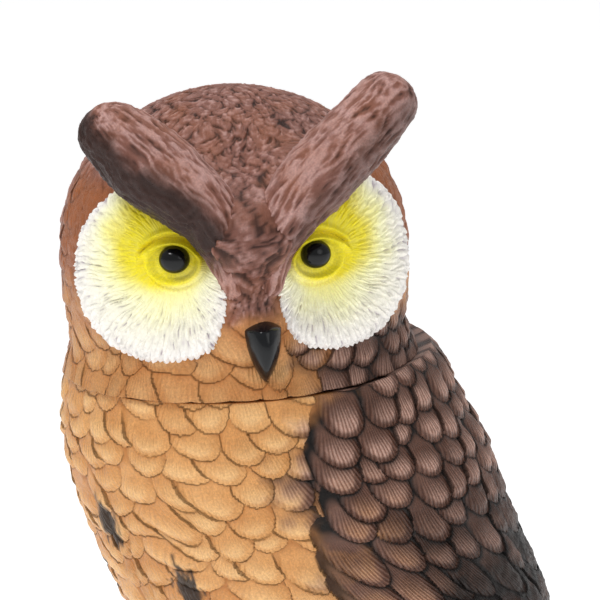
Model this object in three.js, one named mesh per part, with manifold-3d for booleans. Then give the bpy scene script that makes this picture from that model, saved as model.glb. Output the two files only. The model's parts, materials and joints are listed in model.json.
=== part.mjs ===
// Garden owl: a hollow moulded owl on a stump, whose head turns on a spindle in the neck.
// Millimetres, +Z up, the owl's breast towards -Y, origin at the middle of the underside.
// Pieces of the head are drawn in the head's own frame, where the face looks along -Y, and
// pieces of the bearing in the neck's frame, whose Z axis is the axis that the head turns on.

import * as THREE from 'three';
import { mergeVertices } from 'three/addons/utils/BufferGeometryUtils.js';
import Module from 'manifold-3d';

const wasm = await Module();
wasm.setup();

// ---- driving dimensions -------------------------------------------------------------------

const WALL = 3; // moulded wall of the head, the body and the stump
const SEAT = 0.3; // clearance where one piece sits in or on another
const RUN = 0.9; // running clearance round the turning head

// Neck: where the head's axis crosses its zero level, its lean, and the head's turn at rest.
const NECK_HEIGHT = 299;
const NECK_FORWARD = 42;
const NECK_TILT = THREE.MathUtils.degToRad(4.5);
const HEAD_TURN = THREE.MathUtils.degToRad(53);

// Head, heights measured from the neck's zero level.
const HEAD_RADIUS = 62;
const HEAD_TOP = 88;
const SKIRT_BOTTOM = -11;
const SKIRT_RADIUS = 63;
const HEAD_BORE = 56;
const FACE_FLATTEN = 0.08;
const FACE_SQUARE = 2.5;

// Brow rolls that run up into the ear tufts.
const BROW_INNER = new THREE.Vector3(HEAD_RADIUS * 0.21, -HEAD_RADIUS * 0.92, 38);
const TUFT_TIP = new THREE.Vector3(HEAD_RADIUS * 0.91, -HEAD_RADIUS * 0.775, HEAD_TOP + 11.5);
const BROW_RADIUS = 9.5;

// Face discs, dished ovals turned outwards on either side of the beak.
const DISC_CENTRE = new THREE.Vector3(HEAD_RADIUS * 0.565, -HEAD_RADIUS * 0.745, 31.5);
const DISC_HALF_WIDTH = 26;
const DISC_HALF_HEIGHT = 29;
const DISC_THICK = 5;
const DISC_DISH = 3;
const DISC_OUTWARD = THREE.MathUtils.degToRad(31);
const DISC_UPWARD = THREE.MathUtils.degToRad(4);

// Eyes and beak, each held by a stem and a push-on washer.
const EYE_PLACE = new THREE.Vector2(-9, 5); // on the disc, towards the beak and up
const EYE_RADIUS = 6;
const EYE_DOME = 4.2;
const STEM_RADIUS = 2.4;
const EYE_STEM = 12;
const WASHER_RADIUS = 6;
const WASHER_THICK = 1.6;
const BEAK_TOP = 15;
const BEAK_TIP = -5.5;
const BEAK_HALF_WIDTH = 6.6;
const BEAK_DEPTH = 9;
const BEAK_FACE = HEAD_RADIUS - 5.5; // distance of the beak's root from the head's axis
const BEAK_STEM = 16;
const BEAK_STEM_DROP = 3.5; // from the beak's top down to its stem

// Neck bearing, heights in the neck's frame.
const RING_TOP = -3;
const RING_LEDGE = -9;
const LEDGE_WIDTH = 5;
const LEDGE_THICK = 3;
const PLATE_THICK = 3;
const SPINDLE_RADIUS = 6;
const SPINDLE_FLANGE = 11;
const SPINDLE_FLANGE_THICK = 3;
const HUB_RADIUS = 14;
const HUB_HEIGHT = 15;
const THRUST_RADIUS = 16;
const THRUST_THICK = 2;
const HEAD_PLATE_LEVEL = -2;
const RETAINER_RADIUS = 11;
const RETAINER_THICK = 1.6;
const SCREW_RADIUS = 2;
const SCREW_HEAD_RADIUS = 4;
const SCREW_HEAD_THICK = 2.6;
const SPINDLE_SCREW_LENGTH = 16;

// Tail, behind the stump.
const TAIL_BOTTOM = 22;
const TAIL_TOP = 120;
const TAIL_HALF_WIDTH = 30;
const TAIL_THICK = 13;
const TAIL_BACK = 96;
const TAIL_LEAN = THREE.MathUtils.degToRad(-5);

// Stump, base plate, feet and plug.
const STUMP_TOP = 50;
const STUMP_TOP_RADIUS = 56;
const STUMP_FOOT_RADIUS = 64;
const DECK_THICK = 4;
const BASE_RADIUS = STUMP_FOOT_RADIUS - 4;
const BASE_THICK = 4;
const POST_RADIUS = 6;
const POST_CIRCLE = 46;
const BODY_SCREW_CIRCLE = 25;
const COUNTERBORE = 3;
const BASE_SCREW_LENGTH = 16;
const PLUG_RADIUS = 11;
const PLUG_HEAD_RADIUS = 14;
const PLUG_HEAD_THICK = 1.4;
const PLUG_DEPTH = 12;
const PLUG_RECESS = 1.8;
const PLUG_PLACE = 22; // in front of the base plate's middle
const FOOT_SPREAD = 21;
const FOOT_FORWARD = 41;
const TOE_LENGTH = 23;
const TOE_RADIUS = 5.2;
const TOE_ANGLES = [-24, 0, 24].map(THREE.MathUtils.degToRad);
const PEG_RADIUS = 4;
const PEG_LENGTH = 9;

// Body: each level section's share of the height from its foot to the neck, the middle's share
// of the neck's forward reach, and its half depth and half width as shares of the greatest.
const BODY_BOTTOM = STUMP_TOP + SEAT;
const BODY_HALF_WIDTH = 81;
const BODY_SECTIONS = [
  [0, -0.226, 0.525, 0.519],
  [0.047, -0.286, 0.593, 0.568],
  [0.111, -0.381, 0.667, 0.63],
  [0.18, -0.452, 0.741, 0.716],
  [0.26, -0.5, 0.802, 0.809],
  [0.353, -0.488, 0.846, 0.889],
  [0.461, -0.393, 0.877, 0.957],
  [0.578, -0.125, 0.898, 0.994],
  [0.67, 0.167, 0.907, 1],
  [0.763, 0.433, 0.92, 0.988],
  [0.831, 0.59, 0.914, 0.963],
  [0.883, 0.733, 0.889, 0.914],
  [0.928, 0.84, 0.856, 0.858],
];
const SHOULDER_LIP = 0.5; // how far the body's top edge lies outside the head's skirt
const SHOULDER_TOP = 9; // from the neck's zero level down to the body's last section
const NECK_OPENING = 20; // height over which the body's hollow narrows to the neck bore
const BODY_FLANGE_THICK = 9;
const BODY_MOUTH = 15;

const FINE = 32; // steps round the large shells
const ROUND = 20; // steps round the bearing pieces
const SMALL = 10; // steps round screws and pegs

// ---- shaping helpers ----------------------------------------------------------------------

// Welds a closed geometry and turns its faces outwards.
function weld(geometry) {
  const bare = geometry.clone();
  bare.deleteAttribute('normal');
  bare.deleteAttribute('uv');
  const merged = mergeVertices(bare, 1e-4);
  const place = merged.attributes.position;
  const index = [];
  let volume = 0;
  const [a, b, c] = [0, 1, 2].map(() => new THREE.Vector3());
  for (let i = 0; i < merged.index.count; i += 3) {
    const corner = [0, 1, 2].map((k) => merged.index.getX(i + k));
    if (new Set(corner).size < 3) continue;
    a.fromBufferAttribute(place, corner[0]);
    b.fromBufferAttribute(place, corner[1]);
    c.fromBufferAttribute(place, corner[2]);
    volume += a.dot(b.cross(c));
    index.push(...corner);
  }
  if (volume < 0) index.reverse();
  merged.setIndex(index);
  return merged;
}

function toSolid(geometry) {
  const welded = weld(geometry);
  const mesh = new wasm.Mesh({
    numProp: 3,
    vertProperties: new Float32Array(welded.attributes.position.array),
    triVerts: new Uint32Array(welded.index.array),
  });
  mesh.merge();
  return new wasm.Manifold(mesh);
}

function toGeometry(solid) {
  const mesh = solid.getMesh();
  const geometry = new THREE.BufferGeometry();
  geometry.setAttribute('position', new THREE.BufferAttribute(mesh.vertProperties, 3));
  geometry.setIndex(new THREE.BufferAttribute(mesh.triVerts, 1));
  return geometry;
}

// Joins the first list of geometries and cuts the second list away.
function build(added, cut = []) {
  let solid = toSolid(added[0]);
  for (const extra of added.slice(1)) solid = solid.add(toSolid(extra));
  for (const tool of cut) solid = solid.subtract(toSolid(tool));
  return toGeometry(solid);
}

// A turned shape about Z from [radius, height] pairs.
function turned(profile, steps = ROUND) {
  const points = profile.map(([radius, height]) => new THREE.Vector2(radius, height));
  return new THREE.LatheGeometry(points, steps).rotateX(Math.PI / 2);
}

function disc(radius, low, high, steps = ROUND) {
  return turned([[0, low], [radius, low], [radius, high], [0, high]], steps);
}

function ring(inner, outer, low, high, steps = ROUND) {
  return turned([[inner, low], [outer, low], [outer, high], [inner, high], [inner, low]], steps);
}

function warp(geometry, move) {
  const place = geometry.attributes.position;
  const point = new THREE.Vector3();
  for (let i = 0; i < place.count; i += 1) {
    point.fromBufferAttribute(place, i);
    move(point);
    place.setXYZ(i, point.x, point.y, point.z);
  }
  return geometry;
}

// A pan-head screw whose head lies just under z = 0 and whose shank points up.
function screwGeometry(length) {
  return turned([
    [0, -SCREW_HEAD_THICK],
    [SCREW_HEAD_RADIUS * 0.7, -SCREW_HEAD_THICK],
    [SCREW_HEAD_RADIUS, -SCREW_HEAD_THICK * 0.5],
    [SCREW_HEAD_RADIUS, 0],
    [SCREW_RADIUS, 0],
    [SCREW_RADIUS, length - SCREW_RADIUS],
    [0, length],
  ], SMALL);
}

// A roll with rounded ends between two points, thicker in the middle.
function roll(from, to, radius, endShare) {
  const span = to.clone().sub(from);
  const length = span.length();
  const profile = [];
  const steps = 8;
  for (let i = 0; i <= steps; i += 1) {
    const t = i / steps;
    const round = Math.sqrt(Math.max(0, 1 - (2 * t - 1) ** 6));
    const swell = endShare + (1 - endShare) * Math.sin(Math.PI * t);
    profile.push([radius * round * swell, t * length]);
  }
  const geometry = turned(profile, 12);
  const aim = new THREE.Quaternion().setFromUnitVectors(
    new THREE.Vector3(0, 0, 1),
    span.normalize(),
  );
  return geometry.applyQuaternion(aim).translate(from.x, from.y, from.z);
}

const smooth = THREE.MathUtils.smoothstep;

function mix(a, b, t) {
  return a + (b - a) * t;
}

// ---- group structure ----------------------------------------------------------------------

const owl = new THREE.Group();
const neck = new THREE.Group();
const head = new THREE.Group();
neck.position.set(0, -NECK_FORWARD, NECK_HEIGHT);
neck.rotation.x = NECK_TILT;
head.rotation.z = HEAD_TURN;
neck.add(head);
owl.add(neck);
owl.updateMatrixWorld(true);

const FINISH = {
  brown: { color: 0x5f453b, roughness: 0.62, metalness: 0 },
  tan: { color: 0xc79561, roughness: 0.6, metalness: 0 },
  white: { color: 0xefeae6, roughness: 0.6, metalness: 0 },
  black: { color: 0x0b0d10, roughness: 0.12, metalness: 0 },
  bark: { color: 0x6d5847, roughness: 0.75, metalness: 0 },
  horn: { color: 0xb3925c, roughness: 0.5, metalness: 0 },
  natural: { color: 0xd8d6cf, roughness: 0.5, metalness: 0 },
  dark: { color: 0x2a2a2c, roughness: 0.55, metalness: 0 },
  steel: { color: 0xa7a9ac, roughness: 0.35, metalness: 1 },
};

function piece(name, geometry, finish, parent = owl) {
  const mesh = new THREE.Mesh(weld(geometry), new THREE.MeshStandardMaterial(FINISH[finish]));
  mesh.name = name;
  parent.add(mesh);
  return mesh;
}

// ---- head ---------------------------------------------------------------------------------

// The head's half width at each height above the neck's zero level.
const HEAD_PROFILE = [
  [SKIRT_RADIUS, SKIRT_BOTTOM],
  [SKIRT_RADIUS - 2, -6],
  [SKIRT_RADIUS - 3, 0],
  [HEAD_RADIUS - 1.6, 8],
  [HEAD_RADIUS - 0.6, 18],
  [HEAD_RADIUS, 30],
  [HEAD_RADIUS - 1.6, 42],
  [HEAD_RADIUS - 5.2, 53],
  [HEAD_RADIUS - 11, 63],
  [HEAD_RADIUS - 19.5, 72],
  [HEAD_RADIUS - 31, 80],
  [HEAD_RADIUS - 45, HEAD_TOP - 3],
  [0, HEAD_TOP],
];

// Squares and flattens the face's side of a round head, more so away from the neck.
function shapeFace(point) {
  const radius = Math.hypot(point.x, point.y);
  if (radius < 1e-6 || point.y > 0) return;
  const side = Math.abs(point.x) / radius;
  const front = -point.y / radius;
  const share = smooth(point.z, 2, 18) * (1 - smooth(point.z, 62, HEAD_TOP));
  const squared = (side ** FACE_SQUARE + front ** FACE_SQUARE) ** (-1 / FACE_SQUARE);
  const factor = mix(1, squared * (1 - FACE_FLATTEN * front ** 2), share);
  point.x *= factor;
  point.y *= factor;
}

function headOutside() {
  const profile = [[0, SKIRT_BOTTOM], ...HEAD_PROFILE];
  return warp(turned(profile, FINE), shapeFace);
}

// The ledge inside the head that the head plate is pushed up to.
const HEAD_LEDGE = HEAD_PLATE_LEVEL + PLATE_THICK + SEAT;

function headHollow() {
  const upper = HEAD_PROFILE.filter(([, height]) => height > HEAD_LEDGE + 2 && height < HEAD_TOP)
    .map(([radius, height]) => [radius - WALL, height - WALL * (height / HEAD_TOP)]);
  const profile = [
    [0, SKIRT_BOTTOM - 5],
    [HEAD_BORE, SKIRT_BOTTOM - 5],
    [HEAD_BORE, HEAD_LEDGE],
    [HEAD_BORE - WALL, HEAD_LEDGE],
    [HEAD_BORE - WALL, HEAD_LEDGE + 2],
    ...upper,
    [0, HEAD_TOP - WALL],
  ];
  return warp(turned(profile, FINE), shapeFace);
}

// The frame of one disc, with Z out of its dish; side is 1 for the owl's left.
function discFrame(side) {
  const frame = new THREE.Matrix4().makeTranslation(
    side * DISC_CENTRE.x,
    DISC_CENTRE.y,
    DISC_CENTRE.z,
  );
  frame.multiply(new THREE.Matrix4().makeRotationZ(side * DISC_OUTWARD));
  return frame.multiply(new THREE.Matrix4().makeRotationX(Math.PI / 2 - DISC_UPWARD));
}

function ovalDisc(grow, back, front, dish) {
  const width = DISC_HALF_WIDTH + grow;
  const profile = [
    [0, back],
    [1, back],
    [1, front - DISC_DISH * 0.6],
    [0.9, front],
    [0.6, front - dish * 0.7],
    [0, front - dish],
  ];
  return turned(profile, 24).scale(width, width * DISC_HALF_HEIGHT / DISC_HALF_WIDTH, 1);
}

function eyeStemHole(side, radius, low, high) {
  return disc(radius, low, high, SMALL).translate(side * EYE_PLACE.x, EYE_PLACE.y, 0);
}

// Level of the eye's underside in its disc's frame.
const EYE_LEVEL = DISC_THICK / 2 - DISC_DISH + SEAT + 0.8;

function discGeometry(side) {
  const pocket = disc(EYE_RADIUS + SEAT, EYE_LEVEL - SEAT, DISC_THICK + EYE_LEVEL, 16);
  return build(
    [ovalDisc(0, -DISC_THICK / 2, DISC_THICK / 2, DISC_DISH)],
    [
      eyeStemHole(side, STEM_RADIUS + SEAT, -DISC_THICK, DISC_THICK),
      pocket.translate(side * EYE_PLACE.x, EYE_PLACE.y, 0),
    ],
  );
}

function tuft(side) {
  const flip = new THREE.Vector3(side, 1, 1);
  const [from, to] = [BROW_INNER, TUFT_TIP].map((point) => point.clone().multiply(flip));
  return roll(from, to, BROW_RADIUS, 0.8);
}

function headShell() {
  const sides = [1, -1];
  const back = -DISC_THICK / 2;
  const pads = sides.map((side) => disc(1, back - WALL - SEAT, back, 24)
    .scale(DISC_HALF_WIDTH, DISC_HALF_HEIGHT, 1).applyMatrix4(discFrame(side)));
  const seats = sides.map((side) => ovalDisc(SEAT, back - SEAT, 20, 0)
    .applyMatrix4(discFrame(side)));
  const holes = sides.map((side) => eyeStemHole(side, STEM_RADIUS + SEAT, -30, 10)
    .applyMatrix4(discFrame(side)));
  const beakBoss = disc(8, BEAK_FACE - 12, BEAK_FACE - 2, ROUND)
    .rotateX(Math.PI / 2).translate(0, 0, BEAK_TOP - BEAK_STEM_DROP);
  const beakHole = disc(STEM_RADIUS + SEAT, BEAK_FACE - 25, BEAK_FACE + 10, SMALL)
    .rotateX(Math.PI / 2).translate(0, 0, BEAK_TOP - BEAK_STEM_DROP);
  const beakSeat = beakBlade(SEAT);
  const bore = disc(HEAD_BORE, SKIRT_BOTTOM - 5, HEAD_LEDGE, FINE);
  const outside = toSolid(headOutside());
  let shell = outside.subtract(toSolid(headHollow()));
  for (const pad of [...pads, beakBoss]) shell = shell.add(toSolid(pad).intersect(outside));
  for (const side of sides) shell = shell.add(toSolid(tuft(side)));
  for (const tool of [...seats, ...holes, beakHole, beakSeat, bore]) {
    shell = shell.subtract(toSolid(tool));
  }
  return toGeometry(shell);
}

function eyeGeometry() {
  const low = EYE_LEVEL - EYE_STEM;
  const profile = [[0, low], [STEM_RADIUS, low], [STEM_RADIUS, EYE_LEVEL]];
  const steps = 4;
  for (let i = 0; i <= steps; i += 1) {
    const angle = (i / steps) * Math.PI / 2;
    profile.push([EYE_RADIUS * Math.cos(angle), EYE_LEVEL + EYE_DOME * Math.sin(angle)]);
  }
  profile[profile.length - 1][0] = 0;
  return turned(profile, 16);
}

// The beak's blade: a kite section that narrows and hooks down to its tip.
function beakBlade(grow) {
  const height = BEAK_TOP - BEAK_TIP;
  const profile = [[0, -grow], [0.25, 0]];
  const steps = 8;
  for (let i = 1; i <= steps; i += 1) {
    const t = i / steps;
    profile.push([i === steps ? 0 : 1 - t ** 1.7, t * (height + grow)]);
  }
  profile[1] = [1, grow > 0 ? -grow : 0];
  return warp(turned(profile, 16), (point) => {
    const drop = point.z / height;
    point.x *= BEAK_HALF_WIDTH + grow;
    point.y = -BEAK_FACE + point.y * (BEAK_DEPTH + grow) - 3.5 * Math.sin(drop * 2.2);
    point.z = BEAK_TOP - point.z;
  });
}

function beakGeometry() {
  const stem = disc(STEM_RADIUS, BEAK_FACE - BEAK_STEM, BEAK_FACE, SMALL)
    .rotateX(Math.PI / 2).translate(0, 0, BEAK_TOP - BEAK_STEM_DROP);
  return build([beakBlade(0), stem]);
}

function headPlate() {
  const low = hubBottom();
  const top = low + HUB_HEIGHT;
  return turned([
    [SPINDLE_RADIUS + SEAT, low],
    [HUB_RADIUS, low],
    [HUB_RADIUS, HEAD_PLATE_LEVEL],
    [HEAD_BORE - SEAT, HEAD_PLATE_LEVEL],
    [HEAD_BORE - SEAT, HEAD_PLATE_LEVEL + PLATE_THICK],
    [HUB_RADIUS, HEAD_PLATE_LEVEL + PLATE_THICK],
    [HUB_RADIUS, top],
    [SPINDLE_RADIUS + SEAT, top],
    [SPINDLE_RADIUS + SEAT, low],
  ], 24);
}

// ---- neck bearing -------------------------------------------------------------------------

const RING_OUTER = HEAD_BORE - RUN;
const RING_INNER = RING_OUTER - WALL;

function neckPlateTop() {
  return RING_LEDGE + SEAT + PLATE_THICK;
}

function hubBottom() {
  return neckPlateTop() + SEAT + THRUST_THICK + SEAT;
}

function spindleTop() {
  return hubBottom() + HUB_HEIGHT + SEAT;
}

function neckPlate() {
  const low = RING_LEDGE + SEAT;
  return ring(SPINDLE_RADIUS + SEAT, RING_INNER - SEAT, low, low + PLATE_THICK, 24);
}

function spindleGeometry() {
  const flangeTop = RING_LEDGE;
  const flangeLow = flangeTop - SPINDLE_FLANGE_THICK;
  const boreLow = spindleTop() - SPINDLE_SCREW_LENGTH;
  const bore = SCREW_RADIUS + SEAT;
  return turned([
    [0, flangeLow],
    [SPINDLE_FLANGE, flangeLow],
    [SPINDLE_FLANGE, flangeTop],
    [SPINDLE_RADIUS, flangeTop],
    [SPINDLE_RADIUS, spindleTop()],
    [bore, spindleTop()],
    [bore, boreLow],
    [0, boreLow],
  ]);
}

// ---- body ---------------------------------------------------------------------------------

// The body's sections in millimetres: height, middle, half depth and half width. The last lies
// just outside the head's skirt.
function bodySections() {
  const rise = NECK_HEIGHT - BODY_BOTTOM;
  const sections = BODY_SECTIONS.map(([up, forward, deep, wide]) => [
    BODY_BOTTOM + up * rise,
    -forward * NECK_FORWARD,
    deep * BODY_HALF_WIDTH,
    wide * BODY_HALF_WIDTH,
  ]);
  const lip = SKIRT_RADIUS + SHOULDER_LIP;
  return [...sections, [NECK_HEIGHT - SHOULDER_TOP, -NECK_FORWARD * 0.96, lip, lip]];
}

const SECTIONS = bodySections();

function bodySection(height) {
  let i = 0;
  while (i < SECTIONS.length - 2 && SECTIONS[i + 1][0] < height) i += 1;
  const [below, above] = [SECTIONS[i], SECTIONS[i + 1]];
  const t = THREE.MathUtils.clamp((height - below[0]) / (above[0] - below[0]), 0, 1);
  return below.map((value, k) => mix(value, above[k], t));
}

function bodyForm(low, high, shrink) {
  const levels = SECTIONS.map(([height]) => height)
    .filter((height) => height > low + 2 && height < high - 2);
  const profile = [[0, low], ...[low, ...levels, high].map((level) => [1, level]), [0, high]];
  return warp(turned(profile, FINE), (point) => {
    const [, middle, deep, wide] = bodySection(point.z);
    point.x *= wide - shrink;
    point.y = middle + point.y * (deep - shrink);
  });
}

function tailForm() {
  const outline = new THREE.Shape();
  const [wide, narrow, corner] = [TAIL_HALF_WIDTH, TAIL_HALF_WIDTH * 0.75, TAIL_HALF_WIDTH * 0.9];
  outline.moveTo(-narrow, TAIL_TOP);
  outline.lineTo(-wide, TAIL_BOTTOM + 18);
  outline.quadraticCurveTo(-corner, TAIL_BOTTOM + 2, 0, TAIL_BOTTOM);
  outline.quadraticCurveTo(corner, TAIL_BOTTOM + 2, wide, TAIL_BOTTOM + 18);
  outline.lineTo(narrow, TAIL_TOP);
  const slab = new THREE.ExtrudeGeometry(outline, {
    depth: TAIL_THICK - 4,
    bevelThickness: 2,
    bevelSize: 2,
    bevelSegments: 1,
    curveSegments: 6,
  });
  slab.translate(0, -TAIL_BOTTOM, -TAIL_THICK + 2).rotateX(Math.PI / 2 + TAIL_LEAN).rotateZ(Math.PI);
  return slab.translate(0, TAIL_BACK, TAIL_BOTTOM + 2);
}

function bodyShell() {
  const high = NECK_HEIGHT - SHOULDER_TOP;
  const inNeck = (geometry) => geometry.applyMatrix4(neck.matrixWorld);
  const hollow = bodyForm(BODY_BOTTOM + BODY_FLANGE_THICK, high - NECK_OPENING, WALL);
  const throat = inNeck(disc(RING_INNER - LEDGE_WIDTH, -60, 30, FINE));
  const aboveLedge = inNeck(disc(RING_INNER, RING_LEDGE, 40, FINE));
  const mouth = disc(BODY_MOUTH, BODY_BOTTOM - 5, BODY_BOTTOM + 30, ROUND);
  const skirtClear = SKIRT_RADIUS + RUN + SEAT;
  const headSweep = inNeck(turned([
    [RING_OUTER, SKIRT_BOTTOM - 2],
    [skirtClear, SKIRT_BOTTOM - 2],
    [skirtClear, BEAK_TIP - 3],
    [130, BEAK_TIP - 3],
    [130, 60],
    [RING_OUTER, 60],
    [RING_OUTER, SKIRT_BOTTOM - 2],
  ], FINE));
  const collar = inNeck(disc(RING_OUTER, -30, RING_TOP, FINE));
  const aboveRing = inNeck(disc(200, RING_TOP, 80, 8));
  const bores = bodyScrewPlaces().map(([x, y]) => (
    disc(SCREW_RADIUS + SEAT, BODY_BOTTOM - 5, BODY_BOTTOM + 7, SMALL).translate(x, y, 0)
  ));
  return build(
    [bodyForm(BODY_BOTTOM, high, 0), tailForm(), collar],
    [headSweep, hollow, throat, aboveLedge, mouth, aboveRing, ...bores],
  );
}

function screwAngles(count) {
  return Array.from({ length: count }, (_, i) => ((i + 0.5) / count) * 2 * Math.PI);
}

// ---- stump, base and feet -----------------------------------------------------------------

function footPlaces() {
  return [1, -1].map((side) => new THREE.Vector3(side * FOOT_SPREAD, -FOOT_FORWARD, STUMP_TOP + SEAT));
}

function stumpGeometry() {
  const low = BASE_THICK + SEAT;
  const deck = STUMP_TOP - DECK_THICK;
  const outside = turned([
    [0, low],
    [STUMP_FOOT_RADIUS, low],
    [STUMP_FOOT_RADIUS - 3, low + 8],
    [STUMP_TOP_RADIUS + 1, deck - 6],
    [STUMP_TOP_RADIUS, STUMP_TOP - 2],
    [STUMP_TOP_RADIUS - 2, STUMP_TOP],
    [0, STUMP_TOP],
  ], FINE);
  const chamber = turned([
    [0, low - 5],
    [STUMP_FOOT_RADIUS - WALL - 3, low - 5],
    [STUMP_TOP_RADIUS - WALL, deck],
    [0, deck],
  ], FINE);
  const bored = (places, radius, from, to) => places.map(([x, y]) => (
    disc(radius, from, to, SMALL).translate(x, y, 0)
  ));
  const posts = bored(basePosts(), POST_RADIUS, low, deck + 1);
  const feet = footPlaces().map(({ x, y }) => [x, y]);
  const bores = [
    ...bored(basePosts(), SCREW_RADIUS + SEAT, low - 5, low + BASE_SCREW_LENGTH),
    ...bored(bodyScrewPlaces(), SCREW_RADIUS + SEAT, deck - 5, STUMP_TOP + 5),
    ...bored(feet, PEG_RADIUS + SEAT, deck - 5, STUMP_TOP + 5),
  ];
  let stump = toSolid(outside).subtract(toSolid(chamber));
  for (const post of posts) stump = stump.add(toSolid(post));
  for (const tool of bores) stump = stump.subtract(toSolid(tool));
  return toGeometry(stump);
}

function basePosts() {
  return screwAngles(4).map((angle) => [POST_CIRCLE * Math.sin(angle), POST_CIRCLE * Math.cos(angle)]);
}

function bodyScrewPlaces() {
  return screwAngles(3).map((angle) => [
    BODY_SCREW_CIRCLE * Math.sin(angle),
    BODY_SCREW_CIRCLE * Math.cos(angle),
  ]);
}

function basePlate() {
  const holes = basePosts().flatMap(([x, y]) => [
    disc(SCREW_HEAD_RADIUS + SEAT, -5, COUNTERBORE, SMALL).translate(x, y, 0),
    disc(SCREW_RADIUS + SEAT, -5, BASE_THICK + 5, SMALL).translate(x, y, 0),
  ]);
  const plugHole = disc(PLUG_RADIUS + SEAT, -5, BASE_THICK + 5).translate(0, -PLUG_PLACE, 0);
  const plugRecess = disc(PLUG_HEAD_RADIUS + SEAT, -5, PLUG_RECESS).translate(0, -PLUG_PLACE, 0);
  return build([disc(BASE_RADIUS, 0, BASE_THICK, FINE)], [...holes, plugHole, plugRecess]);
}

function plugGeometry() {
  const low = PLUG_RECESS - SEAT - PLUG_HEAD_THICK;
  return turned([
    [0, low],
    [PLUG_HEAD_RADIUS, low],
    [PLUG_HEAD_RADIUS, low + PLUG_HEAD_THICK],
    [PLUG_RADIUS, low + PLUG_HEAD_THICK],
    [PLUG_RADIUS, PLUG_DEPTH - 2],
    [PLUG_RADIUS - 1.5, PLUG_DEPTH],
    [0, PLUG_DEPTH],
  ]);
}

// A foot with three toes over the stump's front edge and a peg into its deck.
function footGeometry() {
  const toes = TOE_ANGLES.map((angle) => {
    const start = new THREE.Vector3(0, 4, TOE_RADIUS + 0.4);
    const end = new THREE.Vector3(Math.sin(angle), -Math.cos(angle), 0)
      .multiplyScalar(TOE_LENGTH).add(new THREE.Vector3(0, 0, TOE_RADIUS));
    return roll(start, end, TOE_RADIUS, 0.82);
  });
  const peg = disc(PEG_RADIUS, -PEG_LENGTH, 4, SMALL);
  const floor = disc(60, -30, 0, SMALL);
  let foot = toSolid(toes[0]).add(toSolid(toes[1])).add(toSolid(toes[2]));
  foot = foot.subtract(toSolid(floor)).add(toSolid(peg));
  return toGeometry(foot);
}

// ---- assembly -----------------------------------------------------------------------------

piece('head_shell', headShell(), 'brown', head);
for (const [side, word] of [[1, 'left'], [-1, 'right']]) {
  const place = (mesh) => mesh.applyMatrix4(discFrame(side));
  place(piece(`face_disc_${word}`, discGeometry(side), 'white', head));
  const shift = (geometry) => geometry.translate(side * EYE_PLACE.x, EYE_PLACE.y, 0);
  place(piece(`eye_${word}`, shift(eyeGeometry()), 'black', head));
  const washerTop = -DISC_THICK / 2 - SEAT - WALL - SEAT;
  const washer = ring(STEM_RADIUS + SEAT, WASHER_RADIUS, washerTop - WASHER_THICK, washerTop, SMALL);
  place(piece(`eye_washer_${word}`, shift(washer), 'steel', head));
}
piece('beak', beakGeometry(), 'black', head);
const beakWasherFace = BEAK_FACE - 12 - SEAT;
piece(
  'beak_washer',
  ring(STEM_RADIUS + SEAT, WASHER_RADIUS, beakWasherFace - WASHER_THICK, beakWasherFace, SMALL)
    .rotateX(Math.PI / 2).translate(0, 0, BEAK_TOP - BEAK_STEM_DROP),
  'steel',
  head,
);
piece('head_plate', headPlate(), 'natural', head);

piece('neck_plate', neckPlate(), 'natural', neck);
piece('neck_spindle', spindleGeometry(), 'natural', neck);
const thrustLow = neckPlateTop() + SEAT;
piece(
  'thrust_washer',
  ring(SPINDLE_RADIUS + SEAT, THRUST_RADIUS, thrustLow, thrustLow + THRUST_THICK),
  'dark',
  neck,
);
const retainerLow = spindleTop() + SEAT;
piece(
  'spindle_washer',
  ring(SCREW_RADIUS + SEAT, RETAINER_RADIUS, retainerLow, retainerLow + RETAINER_THICK),
  'steel',
  neck,
);
const spindleScrew = piece('spindle_screw', screwGeometry(SPINDLE_SCREW_LENGTH), 'steel', neck);
spindleScrew.rotation.x = Math.PI;
spindleScrew.position.z = retainerLow + RETAINER_THICK + SEAT;

piece('body_shell', bodyShell(), 'tan');
piece('stump', stumpGeometry(), 'bark');
footPlaces().forEach((place, i) => {
  piece(['foot_left', 'foot_right'][i], footGeometry(), 'horn').position.copy(place);
});
piece('base_plate', basePlate(), 'dark');
basePosts().forEach(([x, y], i) => {
  piece(`base_screw_${i + 1}`, screwGeometry(BASE_SCREW_LENGTH), 'steel')
    .position.set(x, y, COUNTERBORE - SEAT);
});
bodyScrewPlaces().forEach(([x, y], i) => {
  piece(`body_screw_${i + 1}`, screwGeometry(DECK_THICK + 6), 'steel')
    .position.set(x, y, STUMP_TOP - DECK_THICK - SEAT);
});
piece('filler_plug', plugGeometry(), 'dark').position.y = -PLUG_PLACE;

export default owl;
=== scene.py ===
# A hollow moulded garden owl on a stump, its head turned on the neck.
# Shapes are worked out in millimetres and made into meshes in metres.

import json
import math

import bpy
import numpy as np
from mathutils import Matrix, Vector


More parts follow.
